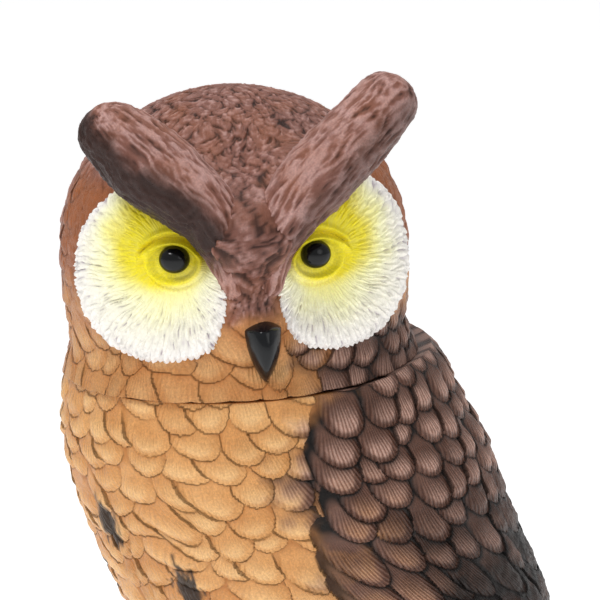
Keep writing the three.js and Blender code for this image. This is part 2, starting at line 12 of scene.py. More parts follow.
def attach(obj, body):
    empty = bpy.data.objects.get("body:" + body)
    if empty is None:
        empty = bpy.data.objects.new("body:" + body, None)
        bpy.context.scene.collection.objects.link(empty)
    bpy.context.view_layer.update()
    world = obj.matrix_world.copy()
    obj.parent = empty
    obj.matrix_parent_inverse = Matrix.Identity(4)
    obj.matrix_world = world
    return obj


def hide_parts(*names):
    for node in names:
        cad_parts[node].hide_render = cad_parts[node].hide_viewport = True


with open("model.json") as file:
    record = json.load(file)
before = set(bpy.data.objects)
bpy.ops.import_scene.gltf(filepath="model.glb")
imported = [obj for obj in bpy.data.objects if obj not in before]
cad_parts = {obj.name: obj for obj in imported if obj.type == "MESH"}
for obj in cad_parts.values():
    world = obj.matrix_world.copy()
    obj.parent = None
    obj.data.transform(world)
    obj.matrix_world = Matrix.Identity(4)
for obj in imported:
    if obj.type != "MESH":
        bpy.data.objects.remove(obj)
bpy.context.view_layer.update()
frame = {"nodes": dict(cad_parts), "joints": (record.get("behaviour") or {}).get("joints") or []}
MM = 0.001

# ---- frames of the neck and of the head ----

TURN = next(joint for joint in frame["joints"] if joint["name"] == "head_turn")
NECK_AT = np.array(TURN["pos_m"]) / MM
HEAD_ANGLE = math.radians(53)
AXIS = Vector(TURN["axis"])
TILTED = Vector((0, 0, 1)).rotation_difference(AXIS).to_matrix().to_4x4()
TO_NECK = Matrix.Translation(Vector(NECK_AT)) @ TILTED
TO_HEAD = TO_NECK @ Matrix.Rotation(HEAD_ANGLE, 4, "Z")


def placed(points, matrix):
    m = np.array(matrix)
    return points @ m[:3, :3].T + m[:3, 3]


# ---- numbers ----

def ease(x, low, high):
    t = np.clip((x - low) / (high - low), 0, 1)
    return t * t * (3 - 2 * t)


def mix(a, b, t):
    return a + (b - a) * t


def bump(x, centre, width):
    return np.exp(-((x - centre) / width) ** 2)


def held(x):
    return np.clip(x, 0, 1)


def rounded(x, power=2):
    """Falls from 1 at 0 to 0 at 1, like the end of a rounded thing."""
    return np.sqrt(held(1 - np.maximum(x, 0) ** power))


def circle(steps):
    """Angles once round, in radians."""
    return np.linspace(0, 2 * np.pi, steps, endpoint=False)


def stack(*parts):
    """Points from their parts, each spread to the shape of them all."""
    return np.stack(np.broadcast_arrays(*parts), axis=-1)


def unit(vectors):
    return vectors / np.maximum(np.linalg.norm(vectors, axis=-1, keepdims=True), 1e-9)


def running(steps):
    """The running total of steps, from 0."""
    return np.concatenate([[0], np.cumsum(steps)])


def curve(x, xs, ys):
    """A smooth line through points, level past its ends."""
    xs, ys = np.asarray(xs, float), np.asarray(ys, float)
    slopes = np.gradient(ys, xs)
    x = np.clip(x, xs[0], xs[-1])
    i = np.clip(np.searchsorted(xs, x) - 1, 0, len(xs) - 2)
    h = xs[i + 1] - xs[i]
    t = (x - xs[i]) / h
    a = (1 + 2 * t) * (1 - t) ** 2 * ys[i] + t * (1 - t) ** 2 * h * slopes[i]
    return a + t * t * (3 - 2 * t) * ys[i + 1] + t * t * (t - 1) * h * slopes[i + 1]


def scatter(*cells, seed=0):
    """An even random number from 0 to 1 for each whole-numbered cell."""
    total = np.full(np.broadcast(*cells).shape, seed * 1442695041 + 12345, dtype=np.int64)
    for cell, factor in zip(cells, (374761393, 668265263, 974634777)):
        total = total + np.asarray(cell, dtype=np.int64) * factor
    total = (total ^ (total >> 13)) & 0xFFFFFFFF
    total = (total * 1274126177) & 0xFFFFFFFF
    total = total ^ (total >> 16)
    total = (total * 668265263) & 0xFFFFFFFF
    return (total ^ (total >> 15)) / 0xFFFFFFFF


def noise(points, size, seed=0):
    """Smooth noise from 0 to 1 with features of the given size."""
    p = points / size
    cell = np.floor(p).astype(np.int64)
    t = p - cell
    t = t * t * (3 - 2 * t)
    total = 0
    for i in (0, 1):
        for j in (0, 1):
            for k in (0, 1):
                weight = abs(1 - i - t[..., 0]) * abs(1 - j - t[..., 1]) * abs(1 - k - t[..., 2])
                total = total + weight * scatter(
                    cell[..., 0] + i, cell[..., 1] + j, cell[..., 2] + k, seed=seed)
    return total


def clouds(points, size, seed=0):
    return (noise(points, size, seed) * 4 + noise(points, size / 2, seed + 1) * 2
            + noise(points, size / 4, seed + 2)) / 7


def ridges(points, size, seed=0):
    """Thin winding raised lines, 0 to 1."""
    return 1 - np.abs(2 * noise(points, size, seed) - 1) ** 0.8


# ---- colour ----

def srgb(red, green, blue):
    """Linear colour from 0 to 255 display values."""
    c = np.array([red, green, blue]) / 255
    return np.where(c <= 0.04045, c / 12.92, ((c + 0.055) / 1.055) ** 2.4)


def tint(base, other, amount):
    """One colour taken towards another, by an amount held from 0 to 1."""
    return base + (other - base) * held(amount)[..., None]


BROWN = srgb(126, 82, 70)
BROWN_LIGHT = srgb(190, 154, 148)
BROWN_DEEP = srgb(56, 30, 22)
RED_BROWN = srgb(150, 88, 50)
TAN = srgb(212, 157, 98)
TAN_LIGHT = srgb(232, 188, 132)
TAN_DEEP = srgb(178, 110, 50)
WING = srgb(102, 70, 57)
WING_LIGHT = srgb(186, 150, 136)
WING_DEEP = srgb(18, 10, 6)
FAN_TAN = srgb(190, 140, 100)
WHITE = srgb(244, 240, 236)
LILAC_SHADE = srgb(172, 156, 174)
YELLOW = srgb(236, 220, 10)
PALE_YELLOW = srgb(255, 253, 190)
OLIVE_SHADE = srgb(150, 130, 0)
HORN = srgb(196, 160, 96)
BARK = srgb(116, 92, 72)
BARK_DEEP = srgb(52, 38, 28)
BARK_LIGHT = srgb(160, 136, 110)
MOSS = srgb(96, 104, 58)


# ---- meshes ----

def grid_faces(rows, columns):
    """Faces of a grid of points whose rows close on themselves."""
    i, j = np.meshgrid(np.arange(rows - 1), np.arange(columns), indexing="ij")
    k = (j + 1) % columns
    row, above = i * columns, (i + 1) * columns
    return stack(row + j, row + k, above + k, above + j).reshape(-1, 4)


def new_object(name, data):
    thing = bpy.data.objects.new(name, data)
    bpy.context.scene.collection.objects.link(thing)
    return thing


def make_mesh(name, points, quads, paint, barbs=None, relief=None):
    """A smooth mesh from points in mm, with a paint colour, feather places and relief at each point."""
    points = np.asarray(points, float).reshape(-1, 3)
    mesh = bpy.data.meshes.new(name)
    mesh.vertices.add(len(points))
    mesh.vertices.foreach_set("co", (points * MM).ravel())
    mesh.loops.add(quads.size)
    mesh.loops.foreach_set("vertex_index", quads.ravel().astype(np.int32))
    mesh.polygons.add(len(quads))
    mesh.polygons.foreach_set("loop_start", np.arange(0, quads.size, 4, dtype=np.int32))
    mesh.polygons.foreach_set("use_smooth", np.ones(len(quads), bool))
    mesh.update(calc_edges=True)
    mesh.validate()
    colour = np.ones((len(points), 4))
    colour[:, :3] = held(np.asarray(paint).reshape(-1, 3))
    layer = mesh.color_attributes.new("Paint", "FLOAT_COLOR", "POINT")
    layer.data.foreach_set("color", colour.ravel().astype(np.float32))
    for title, kind, key, values in (("Barbs", "FLOAT_VECTOR", "vector", barbs),
                                     ("Relief", "FLOAT", "value", relief)):
        if values is not None:
            layer = mesh.attributes.new(title, kind, "POINT")
            layer.data.foreach_set(key, values.astype(np.float32).ravel())
    return new_object(name, mesh)


def skin(name, grid, paint, barbs=None, relief=None, flip=False):
    """A mesh from one grid of points, with its faces turned over if flip is set."""
    quads = grid_faces(*grid.shape[:2])
    return make_mesh(name, grid, quads[:, ::-1] if flip else quads, paint, barbs, relief)


def normals_of(grid):
    """Unit normals of a grid of points whose rows close on themselves."""
    across = np.roll(grid, -1, 1) - np.roll(grid, 1, 1)
    return unit(np.cross(across, np.gradient(grid, axis=0)))


def with_rows(rows, before=0, first=0, after=0, last=0):
    """Rows of values, with some rows of one value before them and some after."""
    shape = rows.shape[1:]
    return np.concatenate([np.broadcast_to(first, (before, *shape)), rows,
                           np.broadcast_to(last, (after, *shape))])


# ---- feathers ----

def feathers(u, v, length=1.9, width=0.63, square=0.5, seed=0, around=None, keep=None,
             jitter=0.3, soft=0.08):
    """Overlapping rounded feathers, one to a unit of u and a row to a unit of v, which runs to their tips.

    Gives height from 0 to 1, place across from -1 to 1, place along from 0 to 1, a number for each
    feather, the shade that the feathers above throw on it, and where there is a feather at all."""
    shape = u.shape
    layer = {key: np.zeros(shape) for key in ("height", "across", "along", "number", "shade")}
    rank, covered = np.full(shape, -1.0), np.zeros(shape, bool)
    first = int(math.ceil(length))
    for back in range(first, -2, -1):
        row = np.floor(v) - back
        rank[:] = -1.0
        fresh = ~covered
        near = np.zeros(shape)
        for step in (-1, 0, 1):
            column = np.round(u - 0.5 * (row % 2)) + step
            name = column % around if around else column
            sideways, lengthways, grown, order, number = (
                scatter(name, row, seed=seed + k) for k in range(5))
            middle = column + 0.5 * (row % 2) + (sideways - 0.5) * jitter
            root = row + (lengthways - 0.5) * jitter
            size = 1 + (grown - 0.5) * 0.16
            a = (u - middle) / (width * size)
            b = (v - root) / (length * size)
            ends = (np.maximum(b - square, 0) / (1 - square)) ** 2
            real = b > -0.2
            if keep is not None:
                real &= keep(middle, root + 0.7 * length)
                ends = ends + (np.maximum(0.3 - b, 0) / 0.5) ** 2
            edge = 1 - np.sqrt(a ** 2 + ends)
            inside = real & (edge > 0) & fresh
            better = inside & (order > rank)
            rank = np.where(better, order, rank)
            form = mix(0.05, 1, held(b) ** 0.8) * (1 - 0.3 * a ** 2)
            form = form * mix(0.42, 1, ease(edge, 0, 0.42))
            for key, values in (("height", form), ("across", a), ("along", b), ("number", number)):
                layer[key] = np.where(better, values, layer[key])
            covered |= better
            near = np.maximum(near, np.where(real & (b > 0.25), np.exp(np.minimum(edge, 0) / soft), 0))
        layer["shade"] = np.where(fresh & ~covered, np.maximum(layer["shade"], near), layer["shade"])
    return {**layer, "there": covered}


def over(top, under):
    """One layer of feathers laid on another."""
    layer = {key: np.where(top["there"], top[key], under[key]) for key in under}
    layer["shade"] = np.where(top["there"], top["shade"], np.maximum(under["shade"], top["shade"]))
    return layer


def rows_down(levels, pitches, start, z):
    """Row number at height z, counted down from start, where the row pitch changes with height."""
    heights = np.linspace(levels[0], levels[-1], 600)
    pitch = np.interp(heights, levels, pitches)
    count = running(np.diff(heights) / pitch[1:])
    return np.interp(start, heights, count) - np.interp(z, heights, count)


# ---- body ----

# Height, middle (behind the base's middle), half depth, half width and share of the neck's tilt.
BODY_RINGS = np.array([
    [50.3, 9.5, 42.5, 42.0, 0], [62.0, 12.0, 48.0, 46.0, 0], [78.0, 16.0, 54.0, 51.0, 0],
    [95.0, 19.0, 60.0, 58.0, 0], [115.0, 21.0, 65.0, 65.5, 0], [138.0, 20.5, 68.5, 72.0, 0],
    [165.0, 15.4, 71.0, 77.5, 0.1], [194.0, 3.6, 72.5, 79.5, 0.3], [217.0, -8.4, 73.0, 79.5, 0.5],
    [235.0, -16.4, 73.5, 78.5, 0.8], [251.0, -22.6, 74.0, 77.0, 1], [266.0, -29.6, 71.5, 73.5, 1],
    [277.0, -33.2, 69.0, 69.8, 1], [283.0, -35.2, 67.0, 67.4, 1], [286.3, -36.6, 65.2, 65.2, 1],
])
TILT = math.acos(AXIS.z)
SKIRT_LOW = -12.7  # the groove under the head's skirt, in the neck's frame
COLLAR = 54.6  # the collar's radius
HEM_CLEAR = 65.4  # the rim stays low inside this radius, clear of the head's hem
BODY_STEPS, BODY_LEVELS = 760, 440
RIM_RISE = 2.4
RELIEF_BREAST, RELIEF_WING = 2.8, 3.4
RIB_ROOT = 0.35  # the ribs of a feather meet this far behind its root, as a share of its length
BODY_RIBS, HEAD_RIBS, BARB_RIBS = 24, 20, 46.0
ROWS_FROM = 290  # the height that rows of feathers are counted down from
BREAST_COLUMNS, WING_COLUMNS = 31, 34
BREAST_ROWS = ([50, 60, 120, 200, 255, 290], [8.5, 9.5, 11.6, 10.4, 9.4, 7.6])  # heights, row pitches
WING_ROWS = ([40, 90, 130, 170, 205, 230, 250, 290], [36, 36, 32, 24, 15.5, 11.5, 10, 9])
WING_SLOPE = ([60, 130, 195, 225, 240, 290], [0.75, 0.8, 0.75, 0.4, 0.1, -0.1])
WING_PITCH = 12.0  # mm of slope to a column
WING_STEP = 3.2  # how far the wing's lower edge stands off the breast
BODY_GIRTH = 470
WING_EDGE = ([60, 75, 90, 110, 140, 170, 200, 233, 257, 270, 280, 290],
             [160, 148, 128, 106, 85, 72, 63, 58, 55.5, 58, 67, 80])  # heights, angles
# Dark streaks on the breast: angle, height, half width and half height.
BREAST_MARKS = [(-13.5, 235, 7.0, 11.5), (9.5, 212, 6.2, 12.5), (-38, 206, 3.0, 9), (-24, 186, 3.4, 10),
                (30, 180, 3.2, 9), (4, 168, 3.4, 10), (-44, 158, 3, 9), (22, 138, 3, 9)]
# From the rim down into the groove, up the collar and down inside it: radii and heights at the neck.
BODY_INSIDE = [(61, SKIRT_LOW), (58, SKIRT_LOW - 0.6), (COLLAR, SKIRT_LOW - 1), (COLLAR, -3.4),
               (COLLAR - 1, -3.1), (COLLAR - 3, -3.1), (COLLAR - 3, -8.8), (47, -8.9), (47, -14)]
DECK = 50.3  # just over the stump's deck


def body_grid():
    """Angles from the breast in degrees, levels, and the plain body's rings up to the rim under the head."""
    angle = np.linspace(-180, 180, BODY_STEPS, endpoint=False)
    level = np.linspace(BODY_RINGS[0, 0], BODY_RINGS[-1, 0], BODY_LEVELS)[:, None]
    middle, depth, half, share = (curve(level, BODY_RINGS[:, 0], BODY_RINGS[:, k]) for k in (1, 2, 3, 4))
    turn, lean = np.radians(angle), TILT * share
    thigh = 5.5 * bump(level, 76, 20) * bump(np.abs(angle), 34, 15)
    x = half * np.sin(turn) * (1 + thigh / 60)
    y = -depth * np.cos(turn) - thigh * np.cos(turn)
    rise = RIM_RISE * ease(level, 274, 285)
    grid = stack(x, middle + y * np.cos(lean), level + y * np.sin(lean) + rise)
    return np.broadcast_to(angle, x.shape), np.broadcast_to(level, x.shape), grid


def breast_layer(angle, level):
    turn = np.radians(angle)
    v = rows_down(*BREAST_ROWS, ROWS_FROM, level)
    sway = noise(stack(np.sin(turn) * 3, np.cos(turn) * 3, level / 26), 1, 14) - 0.5
    return feathers(angle / 360 * BREAST_COLUMNS + sway * 0.9, v + sway * 0.8, length=1.85,
                    seed=3, around=BREAST_COLUMNS, jitter=0.42)


def wing_layer(angle, level):
    heights = np.linspace(40, ROWS_FROM, 400)
    slope = np.interp(heights, *WING_SLOPE)
    drift = running((slope[1:] + slope[:-1]) / 2 * np.diff(heights))
    shift = (drift[-1] - drift) / WING_PITCH
    v = rows_down(*WING_ROWS, ROWS_FROM, level)
    rows = rows_down(*WING_ROWS, ROWS_FROM, heights)[::-1]

    def on_wing(middle, row):
        z = np.interp(row, rows, heights[::-1])
        where = (middle + np.interp(z, heights, shift)) / WING_COLUMNS * 360
        return where > np.interp(z, *WING_EDGE)

    u = np.abs(angle) / 360 * WING_COLUMNS - np.interp(level, heights, shift)
    left, right = (feathers(u, v, length=1.95, square=0.55, seed=seed, keep=on_wing, jitter=0.36,
                            soft=0.055) for seed in (21, 57))
    return {key: np.where(angle < 0, right[key], left[key]) for key in left}


def breast_marks(angle, level, base):
    """Dark streaks down the middle of the breast, brushed lengthwise."""
    brushed = 0.5 + 1.0 * noise(base * np.array([1, 1, 0.14]), 1.3, 5)
    marks = 0
    for turn, height, wide, tall in BREAST_MARKS:
        across = (angle - turn) / 360 * BODY_GIRTH
        far = np.hypot(across / wide, (level - height) / tall)
        marks = np.maximum(marks, 1 - ease(far * brushed, 0.55, 1.1))
    return marks * 0.95


def body_skin():
    angle, level, base = body_grid()
    breast = breast_layer(angle, level)
    wing = wing_layer(angle, level)
    layer = over(wing, breast)
    on_wing = wing["there"]
    height, shade = layer["height"], layer["shade"]
    a, b = layer["across"], layer["along"]
    past = np.abs(angle) - np.interp(level, *WING_EDGE)
    low = ease(level, 255, 190)
    fade = ease(BODY_RINGS[-1, 0] - level, 0.5, 7)
    rib = np.sin(BODY_RIBS * np.arctan2(a, b + RIB_ROOT)) * ease(b, mix(0.3, 0.05, low), mix(0.6, 0.3, low))
    rough = clouds(base, 5, 7) - 0.5
    softness = mix(0.72, 1, noise(base, 17, 12))
    lift = mix(RELIEF_BREAST, RELIEF_WING, on_wing) * (height - 0.4) * softness
    lift = lift + rib * mix(0.13, 0.12, on_wing) + rough * 1.3
    lift = (lift + ease(past, -2, 5) * WING_STEP * low) * mix(0.1, 1, fade)
    outside = base + normals_of(base) * lift[..., None]
    near_neck = placed(outside, TO_NECK.inverted())
    from_axis = np.hypot(near_neck[..., 0], near_neck[..., 1])
    roof = SKIRT_LOW + 9 * ease(from_axis, HEM_CLEAR, HEM_CLEAR + 3.5)
    near_neck[..., 2] = np.minimum(near_neck[..., 2], roof)
    outside = placed(near_neck, TO_NECK)

    # Painted highlight on the raised part of each feather, and painted shade in the creases under the tips
    # of the feathers above.
    light = ease(height, 0.5, 0.95)
    crease = held(shade * 0.8 + ease(0.42 - height, 0, 0.36) * 0.8)
    worn = ease(clouds(base, 11, 33), 0.42, 0.66)
    high_up = ease(level, 238, 272)
    vary = (layer["number"] - 0.5) * 0.6 + (clouds(base, 14, 40) - 0.5) * 1.3
    tan = tint(TAN, TAN_LIGHT, light * 0.85 + vary * 0.35)
    # Painted shade at each feather's root, under the row above; the tan is also a little darker lower down.
    root = 1 - ease(b, 0.45, 0.85)
    tan = tint(tan, TAN_DEEP, crease * 0.42 + root * 0.3 - vary * 0.5 + ease(level, 235, 150) * 0.12)
    # Painted highlight on the raised parts, in worn patches and strongest high on the mantle.
    highlight_and_wear = light * (0.42 + rib * 0.12 + worn * 0.62 + high_up * 0.8)
    brown = tint(WING, WING_LIGHT, highlight_and_wear + vary * 0.35)
    fan = bump(past, 8, 14) * ease(level, 268, 245) * light
    brown = tint(brown, FAN_TAN, fan * 0.7)
    # Darker low on the wing and round its back: painted shade, over darker paint.
    dim = ease(level, 256, 208) * ease(past, 4, 26) * 0.85 * (1 - 0.3 * worn)
    brown = tint(brown, WING_DEEP, crease * 1.3 + root * 0.16 - vary * 0.3 + dim)
    spray = ease(past + (clouds(base, 8, 50) - 0.5) * 26 + (layer["number"] - 0.5) * 9, -11, 7)
    spray = np.maximum(spray, np.where(on_wing, ease(level, 262, 225) * 0.85, 0))
    dusk = bump(past, -5, 9) * 0.35 * low
    paint = tint(tint(tan, WING, dusk), brown, spray)
    paint = tint(paint, WING_DEEP, breast_marks(angle, level, base) * (1 - spray))

    turn = angle[0]
    inner = [placed(around(turn, radius, h), TO_NECK)[None] for radius, h in BODY_INSIDE]
    closing = np.array([1, 2 / 3, 1 / 3])[:, None, None]
    foot = mix(outside[:1], around(turn, 15, DECK)[None], closing)
    rings = np.concatenate([foot, outside, *inner])
    first, last = len(foot), len(inner)
    rim = tint(TAN_DEEP, WING_DEEP, ease(past[-1], -8, 4))
    paint = with_rows(paint, first, TAN_DEEP, last, rim)
    kind = np.where(on_wing, 1.0, mix(0.45, 1, spray))
    barbs = with_rows(stack(a, b, kind), first, 0, last, 0)
    # The relief passes the painted crease shade on to the material's hollows.
    relief = with_rows(held(1 - crease * mix(0.22, 1, spray)), first, 0, last, 0.7)
    return skin("body_shell_skin", rings, paint, barbs, relief)


# ---- head ----

HEAD_RADIUS = 63.0
HEAD_TOP = 87.2
HEAD_HEIGHTS = [-11, -6, 0, 8, 18, 30, 42, 53, 63, 71.6, 79.2, 84.2, 87.2]
HEAD_RADII = [63.6, 61.2, 59.6, 60.2, 61.1, 61.4, 59.9, 56.2, 50.4, 41.6, 29.6, 16, 0]
HEAD_STEPS, HEAD_LEVELS = 640, 240
RUFF_COLUMNS, RUFF_ROWS, RUFF_FROM = 30, ([-16, 20, 60, 90], [8.5, 10, 9, 7]), 92
HEM_LOBES = 27
# Under the hem, then up inside the skirt and over under the crown: radii and heights.
HEAD_INSIDE = [(57.2, -11), (56.3, -10.2), (56.3, 1.4), (53, 2.2), (54, 20), (53, 40), (46, 58), (30, 72),
               (0, 78)]
FACE_SQUARE = 2.5
FACE_FLATTEN = 0.08


def head_radius(angle, height, radius):
    """Radius of the plain head at an angle from the face, in degrees, flattened and squared in front."""
    turn = np.radians(angle)
    front, side = np.maximum(np.cos(turn), 0), np.abs(np.sin(turn))
    squared = (side ** FACE_SQUARE + front ** FACE_SQUARE) ** (-1 / FACE_SQUARE)
    share = ease(height, 2, 18) * (1 - ease(height, 62, HEAD_TOP)) * (np.abs(angle) < 90)
    return radius * mix(1, squared * (1 - FACE_FLATTEN * front ** 2), share)


def head_lines():
    """Heights and radii of the head's outline, evenly spaced from the skirt up to the crown."""
    t = np.linspace(0, 1, 900)
    index = t * (len(HEAD_RADII) - 1)
    knots = np.arange(len(HEAD_RADII))
    height, radius = curve(index, knots, HEAD_HEIGHTS), curve(index, knots, HEAD_RADII)
    length = running(np.hypot(np.diff(height), np.diff(radius)))
    even = np.linspace(0, length[-1], HEAD_LEVELS)
    return np.interp(even, length, height), np.maximum(np.interp(even, length, radius), 0), even


def around(angle, radius, height):
    """Points at angles in degrees round an upright axis, from the front."""
    turn = np.radians(angle)
    return stack(radius * np.sin(turn), -radius * np.cos(turn), height)


# Each disc's outline round its eye, in the face's own unrolled lengths.
EYE_AT = {1: (27.3, 34.8), -1: (29.5, 36.9)}  # the right eye sits a little higher and wider than the left
DISC_SIDE = 39.4
DISC_HEIGHT = 32.2
DISC_HALF_WIDTH = 30.2
DISC_HALF_HEIGHT = 29.6
BEAK_SIDE = 2.4


def disc_share(x, y):
    """How far out a place is from its disc's middle: under 1 inside."""
    power = mix(3.2, 2.15, ease(x, -12, 8))
    return (np.abs(x / DISC_HALF_WIDTH) ** power + np.abs(y / DISC_HALF_HEIGHT) ** power) ** (1 / power)


def disc_reach(direction, eye_x, eye_y):
    """Distance from the eye to the disc's edge in each direction, in radians from outwards."""
    step = np.linspace(0, 90, 361)
    x = eye_x - DISC_SIDE + np.cos(direction)[:, None] * step
    y = eye_y - DISC_HEIGHT + np.sin(direction)[:, None] * step
    return step[np.argmax(disc_share(x, y) > 1, axis=-1)]


# The middle line of the left brow, from the bridge to the tuft's tip, and its half widths.
BROW_LINE = np.array([[4.8, -55.8, 21], [6.8, -58.6, 33], [10.0, -60.6, 44], [15, -60.6, 53.5],
                      [22.5, -59.5, 61.5], [31.5, -56.5, 69], [41.5, -52.5, 77.3],
                      [51, -49, 85.8], [57.5, -47, 93.0]])
BROW_WIDE = [4.4, 6.0, 8.4, 11.0, 12.4, 12.6, 12.0, 11.2, 10.6]
BROW_DROP = np.array([7.6, 0, -2.4])  # how far the right tuft's tip leans in and down from the left one's
BROW_ROWS, BROW_STEPS = 200, 140
BROW_FLAT = 0.84
BROW_CAP = 10.5


def brow_line(side, count):
    """The middle line of a brow from the bridge to its tuft's tip, and its half width."""
    t = np.linspace(0, 1, count)
    knots = np.linspace(0, 1, len(BROW_LINE))
    line = np.stack([curve(t, knots, BROW_LINE[:, k]) for k in range(3)], axis=-1)
    line = line * np.array([side, 1, 1])
    wide = curve(t, knots, BROW_WIDE)
    if side < 0:
        line = line + t[:, None] ** 2 * BROW_DROP
        wide = wide + 1.8 * bump(t, 0.7, 0.14)
    return line, wide


def brow_distance(points, side):
    """Distance from the middle line of a brow."""
    best = np.full(points.shape[:-1], 1e9)
    line = brow_line(side, 11)[0]
    for start, end in zip(line[:-1], line[1:]):
        d = end - start
        t = held(((points - start) @ d) / (d @ d))
        best = np.minimum(best, np.linalg.norm(points - start - t[..., None] * d, axis=-1))
    return best


def strands(place, seed, wavy=7.0, stretch=3.2):
    """Short wavy carved strands that run along the third of the three lengths given."""
    wave = np.stack([noise(place / np.array([1, 1, 1.4]), 6.5, seed + k) for k in (5, 6, 7)], -1) - 0.5
    place = place + wave * np.array([wavy, wavy, 3])
    thick = ridges(place / np.array([1, 1, stretch]), 1.9, seed)
    thin = ridges(place / np.array([1, 1, stretch * 0.8]), 1.0, seed + 1)
    return 0.62 * thick + 0.38 * thin


def head_skin():
    height, radius, length = head_lines()
    angle = np.linspace(-180, 180, HEAD_STEPS, endpoint=False)
    turn = angle[None, :]
    h, r = height[:, None], radius[:, None]
    plain = head_radius(turn, h, r)
    side = np.radians(np.abs(turn)) * HEAD_RADIUS * np.minimum(1, r / 50)

    # The raised bridge between the discs and the sunk seats under them.
    bridge = bump(turn * 1.1, 0, mix(11, 8.5, ease(h, 8, 45))) * ease(h, -4, 12) * ease(h, 66, 44)
    seat = (1 - ease(disc_share(side - DISC_SIDE, h - DISC_HEIGHT), 0.8, 0.98)) * (h < 66)
    base = around(turn + 0 * h, plain + 6.0 * bridge - 5.0 * seat, h)
    near = np.minimum(brow_distance(base, 1), brow_distance(base, -1))
    line_at = np.interp(np.abs(base[..., 0]), BROW_LINE[:, 0], BROW_LINE[:, 2])
    behind = ease(h - line_at, -3, 5) * ease(h, 26, 42) * (base[..., 1] < 10)
    base = base + normals_of(base) * (11.8 * ease(near, 28, 9) * behind)[..., None]

    v = rows_down(*RUFF_ROWS, RUFF_FROM, h + 0 * turn)
    sway = noise(base, 16, 15) - 0.5
    scales = feathers(turn / 360 * RUFF_COLUMNS + sway, v + sway, length=1.8, seed=80,
                      around=RUFF_COLUMNS, jitter=0.42)
    back = ease(np.abs(turn), 62, 84) * ease(h, 72, 52)
    chin = 1 - ease(h + 0 * turn, 6, 22)
    feathered = held(np.maximum(back, chin))
    cheek_side = ease(np.abs(turn), 34, 50) * ease(h, 66, 56) * (1 - back)
    flow = stack(side, 5 * np.sign(turn), 1.4 * length[:, None]) / 1.25
    carved = strands(flow, 90)
    rib = np.sin(HEAD_RIBS * np.arctan2(scales["across"], scales["along"] + RIB_ROOT))
    rib = rib * ease(scales["along"], 0.3, 0.6)
    fine = clouds(base, 1.8, 95)
    from_top = (length[-1] - length)[:, None]
    twist = np.stack([noise(base, 7, seed) for seed in (31, 32)], -1) - 0.5
    small = feathers(from_top * np.sin(np.radians(turn)) / 5.6 + twist[..., 0] * 1.5,
                     from_top * np.cos(np.radians(turn)) / 4.4 + twist[..., 1] * 1.5,
                     length=1.9, width=0.66, square=0.3, seed=120, jitter=0.6)
    arcs = np.sin(2 * np.pi * 2.4 * np.hypot(small["across"], small["along"]))
    scaly = small["height"] * 0.8 + arcs * 0.12
    crown = (1 - feathered) * (1 - 0.65 * cheek_side)
    body_side = np.abs((turn + math.degrees(HEAD_ANGLE) + 180) % 360 - 180)
    patch = clouds(base, 9, 61) - 0.5
    mantle = ease(body_side + patch * 26 + (scales["number"] - 0.5) * 14 + 0 * h, 62, 76)
    mantle = mantle * ease(h + patch * 10, 13, 3)
    soft_chin = mix(mix(1.9, 1.35, chin * ease(90 - np.abs(turn), 0, 20)), 2.7, mantle)
    relief = feathered * ((scales["height"] - 0.4) * soft_chin + rib * 0.1)
    relief = relief + crown * ((carved - 0.5) * 0.5 + (scaly - 0.4) * 1.7) + (fine - 0.5) * 0.6
    relief = relief * (1 - ease(h, 85.7, HEAD_TOP) * 0.7)
    hem = ease(h, -11, -6)
    grid = base + normals_of(base) * (relief * mix(0.15, 1, hem))[..., None]
    lobe = np.abs(np.sin(np.pi * (angle / 360 * HEM_LOBES + 0.4 * np.sin(np.radians(angle * 5)))))
    sink = -11.4 - 0.9 * np.sqrt(lobe) * (0.75 + 0.25 * np.sin(np.radians(angle * 11)))
    grid[..., 2] = mix(grid[..., 2], sink[None] + (grid[..., 2] + 11), 1 - ease(h, -11, -7))

    high = held(relief * 0.95 + 0.42)
    # Painted highlight on the raised carving and painted shade in its hollows.
    brown = tint(BROWN, BROWN_LIGHT, ease(high, 0.55, 1) * 0.75)
    brown = tint(brown, BROWN_DEEP, ease(0.5 - high, 0, 0.42))
    brown = tint(brown, RED_BROWN, np.clip(0.12 + patch * 0.9, 0, 0.5))
    lit = ease(scales["height"], 0.4, 0.9)
    tan = tint(TAN, TAN_LIGHT, lit * 0.6 + patch * 0.5)
    tan = tint(tan, TAN_DEEP, scales["shade"] * 0.6 + 0.3 - lit * 0.2 - patch * 0.8)
    # The cheeks darker in their low places: painted shade.
    cheek = tint(RED_BROWN, BROWN_DEEP, held(0.5 - high - patch) * 0.5)
    cheek = tint(cheek, tan, 1 - ease(h + patch * 18, 4, 34))
    facing = np.abs(turn) + 0 * h
    paint = tint(brown, cheek, ease(facing, 40, 52) * ease(facing, 100, 80) * ease(h, 66, 56))
    beside = ease(facing, mix(5.0, 9.0, ease(h, 20, 40)) + patch * 7, 12 + patch * 6)
    orange = tint(tan, RED_BROWN, 0.26 + 0.3 * ease(h, 2, 16))
    paint = tint(paint, orange, beside * ease(facing, 60, 44) * ease(h, 42, 26))
    paint = tint(paint, orange, ease(h + patch * 8, 19, 12) * ease(facing, 110, 80))
    paint = tint(paint, brown, ease(facing, 96, 116))
    # The bridge painted darker brown, deepest in its hollows as painted shade.
    nose = bump(turn, 0, 11) * ease(h, 14, 24) * ease(h, 60, 44)
    paint = tint(paint, BROWN_DEEP, nose * 0.4 * (0.5 + ease(0.6 - high, 0, 0.3)))

    # At rest the ruff's colours carry on into the body's: dark over the mantle and the back.
    dark = tint(WING, WING_LIGHT, lit * (0.8 + rib * 0.2))
    dark = tint(dark, WING_DEEP, scales["shade"] * 1.2 + 0.25 - lit * 0.25)
    paint = tint(paint, dark, mantle)

